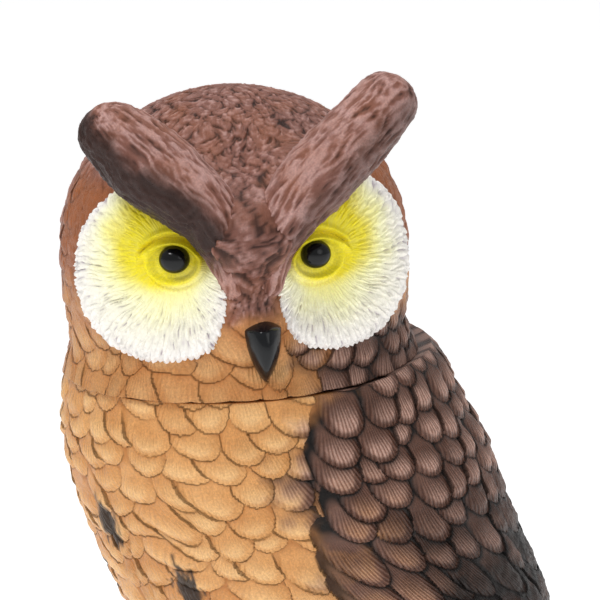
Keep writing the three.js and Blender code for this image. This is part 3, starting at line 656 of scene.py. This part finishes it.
    inner = [around(angle, radius, height)[None] for radius, height in HEAD_INSIDE]
    rings = np.concatenate([*inner[::-1], grid])
    first = len(inner)
    barbs = stack(scales["across"], scales["along"], 0.55 + 0.45 * mantle) * feathered[..., None]
    depth = mix(held(high + 0.25), 1, 0.75 * chin * (1 - mantle))
    return skin("head_shell_skin", placed(rings, TO_HEAD), with_rows(paint, first, TAN_DEEP * 0.8),
                with_rows(barbs, first), with_rows(depth, first))


def rings_round(turn, across, up, flat):
    """Flattened unit rings round a path, from its two side directions."""
    return np.cos(turn)[:, None] * across[:, None] + flat * np.sin(turn)[:, None] * up[:, None]


def brow_skin(side, word):
    """One brow roll, carved lengthwise, running up into its ear tuft."""
    line, wide = brow_line(side, BROW_ROWS)
    tangent = unit(np.gradient(line, axis=0))
    outward = unit(np.array([0.35 * side, -1.0, 0.0]))
    across = unit(np.cross(tangent, outward) * side)
    forward = np.cross(across, tangent) * side
    length = running(np.linalg.norm(np.diff(line, axis=0), axis=1))
    blunt = rounded((length - (length[-1] - BROW_CAP)) / BROW_CAP, 2.3)
    start = rounded((7 - length) / 7)
    wide = wide * blunt * start
    turn = circle(BROW_STEPS)
    ring = rings_round(turn, across, forward, BROW_FLAT)
    base = line[:, None] + ring * wide[:, None, None]
    length = length[:, None]
    place = stack(np.cos(turn) * wide[:, None], np.sin(turn) * wide[:, None], length)
    carved = strands(place, 70 + side, 4.0, 5.0)
    relief = (carved - 0.5) * 1.5 * mix(1, 0.45, ease(length, 62, 95)) + (clouds(base, 6, 73) - 0.5) * 1.2
    relief = relief + (clouds(base, 1.3, 77) - 0.5) * 0.3
    normal = normals_of(base)
    outwards = np.sum(normal * ring, axis=-1, keepdims=True)
    grid = base + normal * np.sign(outwards) * (relief * blunt[:, None] ** 0.5)[..., None]
    high = held((carved - 0.5) * 1.5 + 0.5)
    patch = clouds(base, 8, 66) - 0.5
    # Painted highlight on the raised strands and painted shade between them.
    paint = tint(BROWN, BROWN_LIGHT, ease(high, 0.5, 1.0) * 0.7)
    paint = tint(paint, BROWN_DEEP, ease(0.45 - high, 0, 0.4) * 0.9)
    paint = tint(paint, RED_BROWN, np.clip(patch * 0.8 + 0.08, 0, 0.5))
    # Painted shade along each brow's underside, stronger on the right brow.
    inner_end = 0.4 * bump(length, 28, 22) * (side < 0)
    underside_shade = ease(np.cos(turn) + patch * 0.7 + inner_end, -0.42, 0.22) * ease(length, 104, 84)
    underside_shade = underside_shade * ease(length, 10, 26)
    paint = tint(paint, BROWN_DEEP * 0.55, underside_shade * (0.6 if side > 0 else 0.97))
    relief = held(high + 0.25)
    return skin(f"brow_{word}", placed(grid, TO_HEAD), paint, relief=relief, flip=side > 0)


def face_place(side_length, height, lift):
    """A point on the face from its unrolled place and its lift off the plain head."""
    angle = np.degrees(side_length / HEAD_RADIUS)
    radius = curve(height, HEAD_HEIGHTS, HEAD_RADII)
    return around(angle, head_radius(angle, height, radius) + lift, height)


TUFTS = 92
DISC_RINGS, DISC_STEPS = 130, 736
DISC_UNDER = ((0.985, -2.5), (0.6, -5.6))  # shares of the reach and lifts of the two rings under the rim
EYE_WIDE, EYE_TALL, EYE_DEEP, EYE_LIFT = 5.4, 4.9, 4.6, -3.6


def disc_skin(side, word):
    """A dished face disc with bristles that spread from the eye and lids moulded round it."""
    direction = circle(DISC_STEPS)
    eye_x, eye_y = EYE_AT[side]
    reach = disc_reach(direction, eye_x, eye_y)
    place = direction / (2 * np.pi) * TUFTS
    tooth = scatter(np.floor(place), seed=8)
    reach = reach * (1 + 0.036 * np.sqrt(np.abs(np.sin(np.pi * place))) + 0.022 * (tooth - 0.5))
    t = np.linspace(0, 1, DISC_RINGS)[:, None] ** 0.9
    out_x, out_y = np.cos(direction) * reach, np.sin(direction) * reach
    x, y = eye_x + out_x * t, eye_y + out_y * t
    from_eye = np.hypot(x - eye_x, y - eye_y)
    flat = stack(x, y, 0)
    wave = 1.6 * (noise(flat, 9, 12) - 0.5) + 0.5 * (noise(flat, 3, 13) - 0.5)
    coarse = feathers(place + wave, from_eye / 4.6 + 0.6 * wave, length=2.4, width=0.66, square=0.15,
                      seed=31, around=TUFTS, jitter=0.7)
    fine = ridges(stack(place * 1.5 + wave * 2, from_eye / 3.2, 0), 1.0, 44)
    bristle = coarse["height"] * 0.7 + fine * 0.45
    spread = ease(from_eye, 12, 24)
    dish = mix(-3.4, 2.6, ease(t, 0.25, 0.93)) - 1.4 * ease(t, 0.95, 1.0)
    lids = eyelids(x - eye_x, y - eye_y)
    lift = dish + lids + (bristle - 0.55) * mix(0.3, 2.0, spread) * ease(from_eye, 9.5, 13)
    grid = face_place(x, y, lift)
    under = [face_place(eye_x + out_x * share, eye_y + out_y * share, sink)[None]
             for share, sink in DISC_UNDER]

    ridge = held(bristle * 1.25 - 0.1)
    cream = tint(WHITE, PALE_YELLOW, 0.3 * ease(t, 1.0, 0.6))
    # Lilac painted shade in the grooves between the bristles.
    white = tint(LILAC_SHADE, cream, ease(ridge, 0.02, 0.5))
    wash = 22 + 8 * np.cos(direction - math.radians(58)) - from_eye + (noise(grid, 8, 9) - 0.5) * 6
    pale = ease(wash, -9, 3)
    strong = ease(wash, -2, 9)
    paint = tint(tint(white, PALE_YELLOW, pale * 0.9), YELLOW, strong * mix(0.8, 1.0, ridge))
    # Olive painted shadow under the brow.
    brow = (y - eye_y) - 0.55 * (x - eye_x)
    paint = tint(paint, OLIVE_SHADE, ease(brow, 4, 15) * 0.85 * ease(from_eye, 38, 22))
    # Olive painted shade in the eye's inner corner and in the lid folds.
    inner_shade = bump(x - eye_x, -12.5, 4.5) * bump(y - eye_y, 2, 8)
    folds = np.clip(inner_shade * 0.7 + ease(-lids, 0.75, 1.4) * 0.6, 0, 0.8)
    paint = tint(paint, OLIVE_SHADE, folds * ease(from_eye, 18, 14))
    paint = tint(paint, YELLOW, ease(lids, 0.5, 1.2) * 0.5)
    relief = held(0.45 + ridge * 0.6 + (from_eye < 12))
    count = len(under)
    grid = np.concatenate([grid, *under]) * np.array([side, 1, 1])
    # The rows under the rim take the lilac painted shade.
    return skin(f"face_disc_{word}_skin", placed(grid, TO_HEAD), with_rows(paint, after=count, last=LILAC_SHADE),
                relief=with_rows(relief, after=count), flip=side < 0)


def eyelids(x, y):
    """Height of the lids round an eye at the origin: a lower rim, and a heavy upper lid with a fold."""
    rim = np.hypot(x / 10.3, (y + 0.9) / 7.3)
    lower = 1.5 * bump(rim, 1.0, 0.13) * ease(y, 5, 1.5)
    groove = -0.9 * bump(rim, 1.26, 0.12) * ease(y, 4, 0)
    bed = -0.7 * ease(rim, 0.95, 0.75)
    lid_line = y - (5.2 - 0.034 * (x - 1.0) ** 2)
    span = ease(x, -12, -7) * ease(x, 15.5, 12.5)
    lid = 2.1 * bump(lid_line, 0.4, 1.3) * span
    crease = -1.4 * bump(lid_line, 2.5, 0.8) * span
    above = 1.1 * bump(lid_line, 4.3, 1.3) * span
    return lower + groove + bed + lid + crease + above


def eye_dome(side, word):
    """A polished black dome, a little wider than tall."""
    rings, steps = 20, 48
    eye_x, eye_y = EYE_AT[side]
    middle = face_place(np.array(eye_x), np.array(eye_y), EYE_LIFT)
    turn = 0.62 * eye_x / HEAD_RADIUS
    out = unit(np.array([math.sin(turn), -math.cos(turn), 0.05]))
    across = unit(np.cross(out, [0, 0, 1]))
    up = np.cross(across, out)
    polar = np.linspace(0, np.pi / 2 * 1.15, rings)[:, None, None]
    turn = circle(steps)[None, :, None]
    edge = EYE_WIDE * np.cos(turn) * across + EYE_TALL * np.sin(turn) * up
    grid = (middle + np.cos(polar) * EYE_DEEP * out + np.sin(polar) * edge) * np.array([side, 1, 1])
    return skin(f"eye_{word}_dome", placed(grid, TO_HEAD), srgb(12, 14, 18), flip=side < 0)


def beak_skin():
    """A hooked kite-shaped beak with a ridge down its middle."""
    rows, steps = 70, 72
    t = np.linspace(0, 1, rows)[:, None]
    turn = circle(steps)[None, :]
    open_up = ease(t, -0.02, 0.16)
    half = 6.7 * held(1 - t ** 2.1) ** 0.85 * mix(0.05, 1, open_up)
    deep = 7.4 * held(1 - t ** 2.6) ** 0.85 * mix(0.05, 1, open_up)
    front = np.maximum(np.cos(turn), 0)
    keel = 1 + 0.3 * front ** 5
    x = BEAK_SIDE + half * np.sign(np.sin(turn)) * np.abs(np.sin(turn)) ** 0.85
    y = -58.6 - 4.6 * np.sin(t * 2.4) + 5 * (1 - open_up) - deep * np.cos(turn) * keel
    z = mix(15.6, -6.2, t) + 1.5 * front * (1 - t) ** 2
    return skin("beak_blade", placed(stack(x, y, z), TO_HEAD), srgb(14, 17, 21), flip=True)


# ---- tail, feet and stump ----

def join_grids(parts):
    """One set of points, faces, paint, feather places and relief from several grids."""
    quads, values, count = [], [], 0
    for grid, *values_at in parts:
        rows, columns = grid.shape[:2]
        quads.append(grid_faces(rows, columns) + count)
        count += rows * columns
        shapes = (rows, columns, 3), (rows, columns, 3), (rows, columns)
        values.append([grid] + [np.broadcast_to(value, shape) for value, shape in zip(values_at, shapes)])
    points, paint, barbs, relief = (
        np.concatenate([value.reshape(-1, *value.shape[2:]) for value in kind]) for kind in zip(*values))
    return points, np.concatenate(quads), paint, barbs, relief


def tail_piece():
    """Nine long feathers laid over each other, the middle one outermost."""
    parts = []
    for index in (4, -4, 3, -3, 2, -2, 1, -1, 0):
        far = abs(index)
        low, high, wide, thick = 23 + 2.2 * far ** 1.35, 128 - 2 * far, 9.2, 4.6
        t = np.linspace(0, 1, 150)[:, None]
        turn = circle(64)
        tip = rounded((t - 0.86) / 0.14, 2.2)
        half = wide * tip * mix(0.8, 1, t)
        a = np.sign(np.cos(turn)) * np.abs(np.cos(turn)) ** 0.85
        x = index * mix(4.2, 5.6, t) + half * a
        z = mix(high, low, t)
        back = mix(84.5, 92.5, t) - 1.25 * far - 0.012 * (x ** 2) / 3
        barb = np.sin(2 * np.pi * (t * 34 + np.abs(a) * 1.6)) * 0.16 * (np.sin(turn) > 0)
        shaft = 0.8 * bump(a, 0, 0.1) * (np.sin(turn) > 0)
        body = np.sin(turn) * thick * 0.5 * np.sqrt(np.clip(tip, 0.02, 1))
        y = back + body + (barb + shaft) * tip + (noise(stack(x, z, index), 3, 5) - 0.5) * 0.5
        grid = stack(x, y, z)
        bars = ease(np.sin(2 * np.pi * (t * 5.5 + 0.1 * np.abs(a))), 0.2, 0.8) * 0.32
        edge = ease(np.abs(a), 0.75, 1.0)
        paint = tint(tint(WING, TAN_DEEP, bars), WING_DEEP, edge * 0.7)
        paint = tint(paint, WING_LIGHT, np.clip((barb * 0.9 + shaft * 0.6), 0, 0.4))
        places = stack(a, t * 3, 1)
        parts.append((grid, paint, places, held(1 - edge * 0.8)))
    return make_mesh("tail_feathers", *join_grids(parts))


def tube(path, radii, steps, flat=1.0):
    """Rings round a path of points, and their angles."""
    tangent = unit(np.gradient(path, axis=0))
    across = unit(np.cross(tangent, [0, 0, 1]))
    turn = circle(steps)
    ring = rings_round(turn, across, np.cross(across, tangent), flat)
    return path[:, None] + ring * radii[:, None, None], turn


TOE_ANGLES = (-24, 0, 24)
TOE_REACH = 23.5
FOOT_SIDE, FOOT_FRONT = 21.0, -41.0


def foot_pieces(side, word):
    """Three scaled toes over the stump's edge, each with a hooked claw."""
    toes, claws = [], []
    for angle in TOE_ANGLES:
        turn = math.radians(angle)
        ahead = np.array([math.sin(turn), -math.cos(turn), 0.0])
        t = np.linspace(0, 1, 90)
        start = np.array([side * FOOT_SIDE, FOOT_FRONT, 0])
        path = start + (t[:, None] * (TOE_REACH + 6) - 6) * ahead
        path[:, 2] = 55.9 - 0.4 * t + 1.2 * np.sin(np.pi * t)
        knuckle = 1 + 0.09 * np.sin(t * np.pi * 5.5) ** 2
        radii = 5.3 * rounded(np.abs(2 * t - 1), 7) * knuckle * mix(1.02, 0.86, t)
        grid, ring = tube(path, radii, 40, 0.9)
        scutes = np.abs(np.sin(t * np.pi * 15))[:, None] * ease(np.sin(ring)[None, :], 0.1, 0.7)
        grid[..., 2] += scutes * 0.45
        grid[..., 2] = np.maximum(grid[..., 2], 50.35)
        # Darker between the raised scutes: painted shade.
        paint = tint(HORN, TAN_DEEP, (1 - scutes) * 0.55)
        toes.append((grid, paint, 0.0, held(0.3 + scutes)))
        t = np.linspace(0, 1, 30)
        path = start + ahead * (TOE_REACH - 3 + 9.5 * t)[:, None]
        path[:, 2] = 56.0 + 2.2 * np.sin(t * 2.2) - 5.4 * t ** 2.2
        grid = tube(path, 2.6 * rounded(t, 1.7), 24)[0]
        grid[..., 2] = np.maximum(grid[..., 2], 50.4)
        claws.append((grid, srgb(22, 20, 20), 0.0, 1.0))
    return (make_mesh(f"foot_{word}_toes", *join_grids(toes)),
            make_mesh(f"foot_{word}_claws", *join_grids(claws)))


# Radii and heights from the stump's foot up its side and in over its deck.
STUMP = np.array([(56, 4.35), (61, 4.35), (64, 6.5), (62.5, 12), (59.5, 24), (57.5, 38), (56.6, 45.5),
                  (55, 48.8), (52.5, 50), (46, 50.2), (30, 50.1), (14, 50.0), (0.5, 50.0)])
STUMP_STEPS, STUMP_LEVELS = 420, 190
GROWTH_PITCH = 4.4


def stump_piece():
    """A bark-covered stump with furrows down its side and rings on its deck."""
    length = running(np.hypot(*np.diff(STUMP, axis=0).T))
    even = np.linspace(0, length[-1], STUMP_LEVELS)
    r, z = (np.interp(even, length, STUMP[:, k])[:, None] for k in (0, 1))
    turn = circle(STUMP_STEPS)
    wall = ease(even, 3, 9)[:, None] * (1 - ease(even, length[7] - 1, length[8]))[:, None]
    deck = 1 - ease(r, 50, 54) * (z > 40) - (z < 40)
    place = stack(np.cos(turn) * 60, np.sin(turn) * 60, z * 0.28)
    furrow = ridges(place, 7.5, 200) * 0.62 + ridges(place * np.array([1, 1, 3]), 3.2, 203) * 0.38
    plates = ease(furrow, 0.25, 0.8)
    grain = clouds(stack(np.cos(turn) * 60, np.sin(turn) * 60, z), 2.6, 210)
    ring = r + 1.8 * noise(stack(np.cos(turn) * 2, np.sin(turn) * 2, 0 * z), 1, 6)
    rings = 0.5 + 0.5 * np.sin(2 * np.pi * ring / GROWTH_PITCH)
    out = r + wall * (2.6 * (plates - 0.75) + 0.9 * (grain - 0.5))
    rise = z - held(deck) * 0.45 * rings * ease(r, 42, 44)
    grid = stack(out * np.sin(turn), -out * np.cos(turn), rise)
    # Lighter on the raised bark plates, and darker in the furrows as painted shade.
    paint = tint(BARK, BARK_LIGHT, ease(plates, 0.6, 1.0) * 0.5 * (0.4 + grain))
    paint = tint(paint, BARK_DEEP, (1 - plates) * 0.9 * wall)
    paint = tint(paint, MOSS, ease(clouds(grid, 16, 220), 0.5, 0.72) * 0.45 * wall)
    wood = tint(TAN_DEEP, BARK_LIGHT, rings * 0.6)
    paint = tint(paint, wood, deck)
    relief = held(mix(1.0, 0.25 + plates, wall))
    return skin("stump_bark", grid, paint, relief=relief + 0 * turn)


# ---- materials ----

MIX_A, MIX_B, MIX_RESULT = 6, 7, 2  # the colour sockets of a Mix node


class Nodes:
    """Short ways to add and join shader nodes."""

    def __init__(self, name):
        self.material = bpy.data.materials.new(name)
        self.material.use_nodes = True
        self.tree = self.material.node_tree
        self.shader = next(n for n in self.tree.nodes if n.type == "BSDF_PRINCIPLED")

    def join(self, source, target):
        self.tree.links.new(source, target)

    def set(self, socket, value):
        if isinstance(value, bpy.types.NodeSocket):
            self.join(value, socket)
        else:
            socket.default_value = value

    def node(self, kind, inputs, **settings):
        """The outputs of a new node, with its inputs by name or number and its settings by name."""
        node = self.tree.nodes.new("ShaderNode" + kind)
        for name, value in settings.items():
            setattr(node, name, value)
        for key, value in inputs.items():
            self.set(node.inputs[key], value)
        return node.outputs

    def attribute(self, name, output="Color"):
        return self.node("Attribute", {}, attribute_name=name)[output]

    def noise(self, size, detail=4.0, rough=0.6, warp=0.0, stretch=None):
        """Noise whose features are about `size` metres."""
        vector = self.node("TexCoord", {})["Object"]
        if stretch:
            vector = self.node("VectorMath", {0: vector, 1: stretch}, operation="MULTIPLY")[0]
        return self.node("TexNoise", {"Vector": vector, "Scale": 1 / size, "Detail": detail,
                                      "Roughness": rough, "Distortion": warp})["Fac"]

    def math(self, operation, a, b=0.0, clamp=False):
        return self.node("Math", {0: a, 1: b}, operation=operation, use_clamp=clamp)[0]

    def times(self, a, b):
        return self.math("MULTIPLY", a, b)

    def plus(self, a, b, clamp=False):
        return self.math("ADD", a, b, clamp)

    def span(self, value, low, high, to_low, to_high):
        """A value from low to high taken to a range of its own, and held there."""
        return self.node("MapRange", {"Value": value, "From Min": low, "From Max": high,
                                      "To Min": to_low, "To Max": to_high})[0]

    def blend(self, how, amount, a, b):
        return self.node("Mix", {"Factor": amount, MIX_A: a, MIX_B: b},
                         data_type="RGBA", blend_type=how)[MIX_RESULT]

    def bump(self, height, depth):
        """A bump of the given depth in metres from a height of 0 to 1."""
        normal = self.node("Bump", {"Distance": depth, "Height": height})["Normal"]
        self.join(normal, self.shader.inputs["Normal"])

    def finish(self, colour, roughness, **sockets):
        self.set(self.shader.inputs["Base Color"], colour)
        self.set(self.shader.inputs["Roughness"], roughness)
        for name, value in sockets.items():
            self.shader.inputs[name.replace("_", " ").title().replace("Ior", "IOR")].default_value = value
        return self.material


def rgba(colour):
    return (*[float(c) for c in colour], 1.0)


# What the paint is multiplied by in hollows as painted shade, between ribs, and on raised places as painted
# highlight and wear, and its brushed mottling.
IN_HOLLOWS, BETWEEN_RIBS, ON_HIGHS = (0.42, 0.34, 0.30, 1), (0.45, 0.34, 0.28, 1), (1.45, 1.42, 1.4, 1)
BRUSHED = (0.2, 0.18, 0.17, 1), (0.86, 0.84, 0.82, 1)


def painted(name, gloss=0.42, grain=0.00035, speckle=0.5, feathered=False, depth=0.0004):
    """Brushed paint over moulded resin: painted shade darkens the hollows, and painted highlight with wear
    lightens the raised places, which are smoother.
    """
    n = Nodes(name)
    paint = n.attribute("Paint")
    relief = n.attribute("Relief", "Fac")
    fine = n.noise(grain * 2.2, 6, 0.65)
    broad = n.noise(0.006, 4, 0.6, 0.4)
    streak = n.noise(0.0012, 5, 0.7, 1.2, (1, 1, 0.45))
    hollow = n.span(relief, 0.0, 0.65, 1.0, 0.0)
    # Painted shade in the hollows, in patches.
    wash = n.times(hollow, n.span(broad, 0.3, 0.7, 0.45, 0.85))
    colour = n.blend("MULTIPLY", wash, paint, IN_HOLLOWS)
    mottle = n.span(streak, 0.35, 0.65, 0.0, speckle)
    colour = n.blend("OVERLAY", mottle, colour, n.blend("MIX", fine, *BRUSHED))
    # Painted highlight and wear on the raised places, in patches.
    highlight_and_wear = n.times(n.span(relief, 0.75, 1.0, 0.0, 1.0), n.span(fine, 0.42, 0.66, 0.0, 0.6))
    colour = n.blend("MULTIPLY", highlight_and_wear, colour, ON_HIGHS)
    height = n.plus(n.times(fine, 0.5), n.times(streak, 0.8))
    if feathered:
        across, along, kind = n.node("SeparateXYZ", {0: n.attribute("Barbs", "Vector")})
        fan = n.math("ARCTAN2", across, n.plus(along, RIB_ROOT))
        wobble = n.times(streak, 2.2)
        rib = n.math("SINE", n.plus(n.times(fan, BARB_RIBS), wobble))
        shown = n.times(n.span(along, 0.25, 0.6, 0.0, 1.0), n.span(kind, 0.0, 1.0, 0.3, 1.0))
        rib = n.times(rib, shown)
        height = n.plus(height, n.times(rib, 0.55))
        gaps = n.times(n.span(rib, -1.0, 0.2, 0.95, 0.0), n.span(kind, 0.5, 1.0, 0.14, 1.0))
        colour = n.blend("MULTIPLY", gaps, colour, BETWEEN_RIBS)
    n.bump(height, depth)
    rough = n.plus(n.span(fine, 0.3, 0.7, gloss - 0.12, gloss + 0.1), n.times(hollow, 0.2), True)
    return n.finish(colour, rough, specular_ior_level=0.27)


def gloss_black(name, tint_colour, wear):
    """Polished black paint with faint brush marks and dust."""
    n = Nodes(name)
    marks = n.noise(0.0016, 4, 0.6, 0.8, (1, 1, 0.3))
    dust = n.noise(0.0005, 6, 0.7)
    speck = n.span(dust, 0.62, 0.75, 0.0, wear)
    colour = n.blend("MIX", speck, rgba(tint_colour), (0.10, 0.11, 0.12, 1))
    n.bump(marks, 0.00005)
    return n.finish(colour, n.span(marks, 0.3, 0.7, 0.10, 0.2), specular_ior_level=0.3)


def plastic(name, colour, rough, mottling=0.2, size=0.0006, metal=0.0):
    """Moulded plastic, rubber or turned steel with a fine texture, scuffs and uneven colour."""
    n = Nodes(name)
    fine = n.noise(size, 5, 0.6)
    broad = n.noise(0.012, 5, 0.65, 0.5)
    scuff = n.noise(0.003, 6, 0.7, 2.0, (1, 0.25, 1))
    light = tuple(min(1.0, float(c) * 1.6 + 0.02) for c in colour)
    dark = tuple(float(c) * 0.55 for c in colour)
    base = n.blend("MIX", n.span(broad, 0.3, 0.7, 0.0, mottling), rgba(colour), rgba(dark))
    base = n.blend("MIX", n.span(scuff, 0.56, 0.7, 0.0, 0.5), base, rgba(light))
    n.bump(n.plus(fine, n.times(scuff, 0.5)), 0.00012)
    spread = n.plus(n.span(fine, 0.3, 0.7, rough - 0.06, rough + 0.06),
                    n.span(scuff, 0.5, 0.7, 0.0, 0.12), True)
    return n.finish(base, spread, metallic=metal)


def studio(name):
    """The pale floor."""
    n = Nodes(name)
    soft = n.noise(0.4, 3, 0.5)
    colour = n.blend("MIX", soft, (0.86, 0.86, 0.86, 1), (0.90, 0.90, 0.90, 1))
    return n.finish(colour, 0.9, emission_color=(1, 1, 1, 1), emission_strength=0.55)


# ---- the scene ----

def shade_with(thing, material):
    thing.data.materials.clear()
    thing.data.materials.append(material)


HEAD_PAINT = painted("head_paint_brushed", gloss=0.36, speckle=0.5, feathered=True)
DISC_PAINT = painted("disc_paint_brushed", gloss=0.42, speckle=0.1, depth=0.0003)
BODY_PAINT = painted("body_paint_brushed", gloss=0.38, speckle=0.4, feathered=True)
FOOT_PAINT = painted("foot_paint_brushed", gloss=0.5, speckle=0.4)
BARK_PAINT = painted("stump_paint_brushed", gloss=0.62, speckle=0.6, depth=0.0007)
EYE_BLACK = gloss_black("eye_gloss_black", srgb(10, 11, 13), 0.1)
BEAK_BLACK = gloss_black("beak_gloss_black", srgb(13, 15, 18), 0.3)


def add(piece, material, body, slot, *nodes):
    shade_with(piece, material)
    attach(piece, body)
    if nodes:
        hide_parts(*nodes)


add(head_skin(), HEAD_PAINT, "head", "head_paint", "head_shell")
for side, word in ((1, "left"), (-1, "right")):
    add(brow_skin(side, word), HEAD_PAINT, "head", "head_paint")
    add(disc_skin(side, word), DISC_PAINT, "head", "disc_paint", f"face_disc_{word}")
    add(eye_dome(side, word), EYE_BLACK, "head", "eye_gloss", f"eye_{word}")
    toes, claws = foot_pieces(side, word)
    add(toes, FOOT_PAINT, "figure", "foot_paint", f"foot_{word}")
    add(claws, BEAK_BLACK, "figure", "foot_paint")
add(beak_skin(), BEAK_BLACK, "head", "beak_gloss", "beak")
add(body_skin(), BODY_PAINT, "figure", "body_paint", "body_shell")
add(tail_piece(), BODY_PAINT, "figure", "body_paint")
add(stump_piece(), BARK_PAINT, "figure", "stump_paint", "stump")

FINISHES = {
    "bearing_plastic": plastic("bearing_plastic_white", srgb(226, 224, 216), 0.35),
    "washer_plastic": plastic("washer_plastic_grey", srgb(150, 152, 154), 0.4),
    "base_plastic": plastic("base_plastic_black", srgb(38, 38, 40), 0.55, size=0.0009),
    "plug_rubber": plastic("plug_rubber_black", srgb(28, 28, 30), 0.72, size=0.0004),
    "fixing_steel": plastic("fixing_steel_bright", srgb(186, 188, 192), 0.28, 0.3, 0.0003, 1.0),
}
for node in frame["nodes"].values():
    for spot in node.material_slots:
        finish = FINISHES.get(spot.material.name.split(".")[0]) if spot.material else None
        if finish:
            spot.material = finish


def look(thing, target):
    thing.rotation_euler = (Vector(target) - thing.location).to_track_quat("-Z", "Y").to_euler()


def lamp(name, at, target, size, power):
    data = bpy.data.lights.new(name, "AREA")
    data.shape = "DISK"
    data.size = size
    data.energy = power
    thing = new_object(name, data)
    thing.location = at
    look(thing, target)


bpy.ops.mesh.primitive_circle_add(vertices=128, radius=8, fill_type="NGON", location=(0, 0, -0.0005))
floor = bpy.context.object
floor.name = "floor"
shade_with(floor, studio("floor_pale"))

CAMERA_TURN = math.radians(46)
CAMERA_RISE = math.radians(10)
CAMERA_FAR = 1.5
CAMERA_LENS = 252  # mm, on a sensor 36 mm wide
AIM_ACROSS, AIM_UP = 0.0221, 0.0089  # the photo's middle, from the neck
SIDE, FRONT = math.sin(CAMERA_TURN), math.cos(CAMERA_TURN)
HIGH, LEVEL = math.sin(CAMERA_RISE), math.cos(CAMERA_RISE)
ACROSS = Vector((FRONT, SIDE, 0))
UP = Vector((-SIDE * HIGH, FRONT * HIGH, LEVEL))
TOWARDS = Vector((SIDE * LEVEL, -FRONT * LEVEL, HIGH))
AIM = Vector(NECK_AT) * MM + ACROSS * AIM_ACROSS + UP * AIM_UP
camera = new_object("camera", bpy.data.cameras.new("camera"))
camera.data.lens = CAMERA_LENS
camera.data.sensor_width = 36
camera.data.clip_start, camera.data.clip_end = 0.01, 100
camera.location = AIM + TOWARDS * CAMERA_FAR
look(camera, AIM)
bpy.context.scene.camera = camera

world = bpy.data.worlds.new("studio")
bpy.context.scene.world = world
world.use_nodes = True
sky = world.node_tree.nodes["Background"]
sky.inputs["Color"].default_value = (1, 1, 1, 1)
sky.inputs["Strength"].default_value = 0.5
lamp("key", AIM + TOWARDS * 0.8 - ACROSS * 0.8 + Vector((0, 0, 1.2)), AIM, 0.5, 11.5)
lamp("fill", AIM + TOWARDS * 1.1 + ACROSS * 0.9 + Vector((0, 0, 0.4)), AIM, 0.9, 2.4)
lamp("top", AIM - TOWARDS * 0.2 + ACROSS * 0.1 + Vector((0, 0, 1.3)), AIM, 0.8, 5.5)
bpy.context.scene.view_settings.view_transform = "Standard"
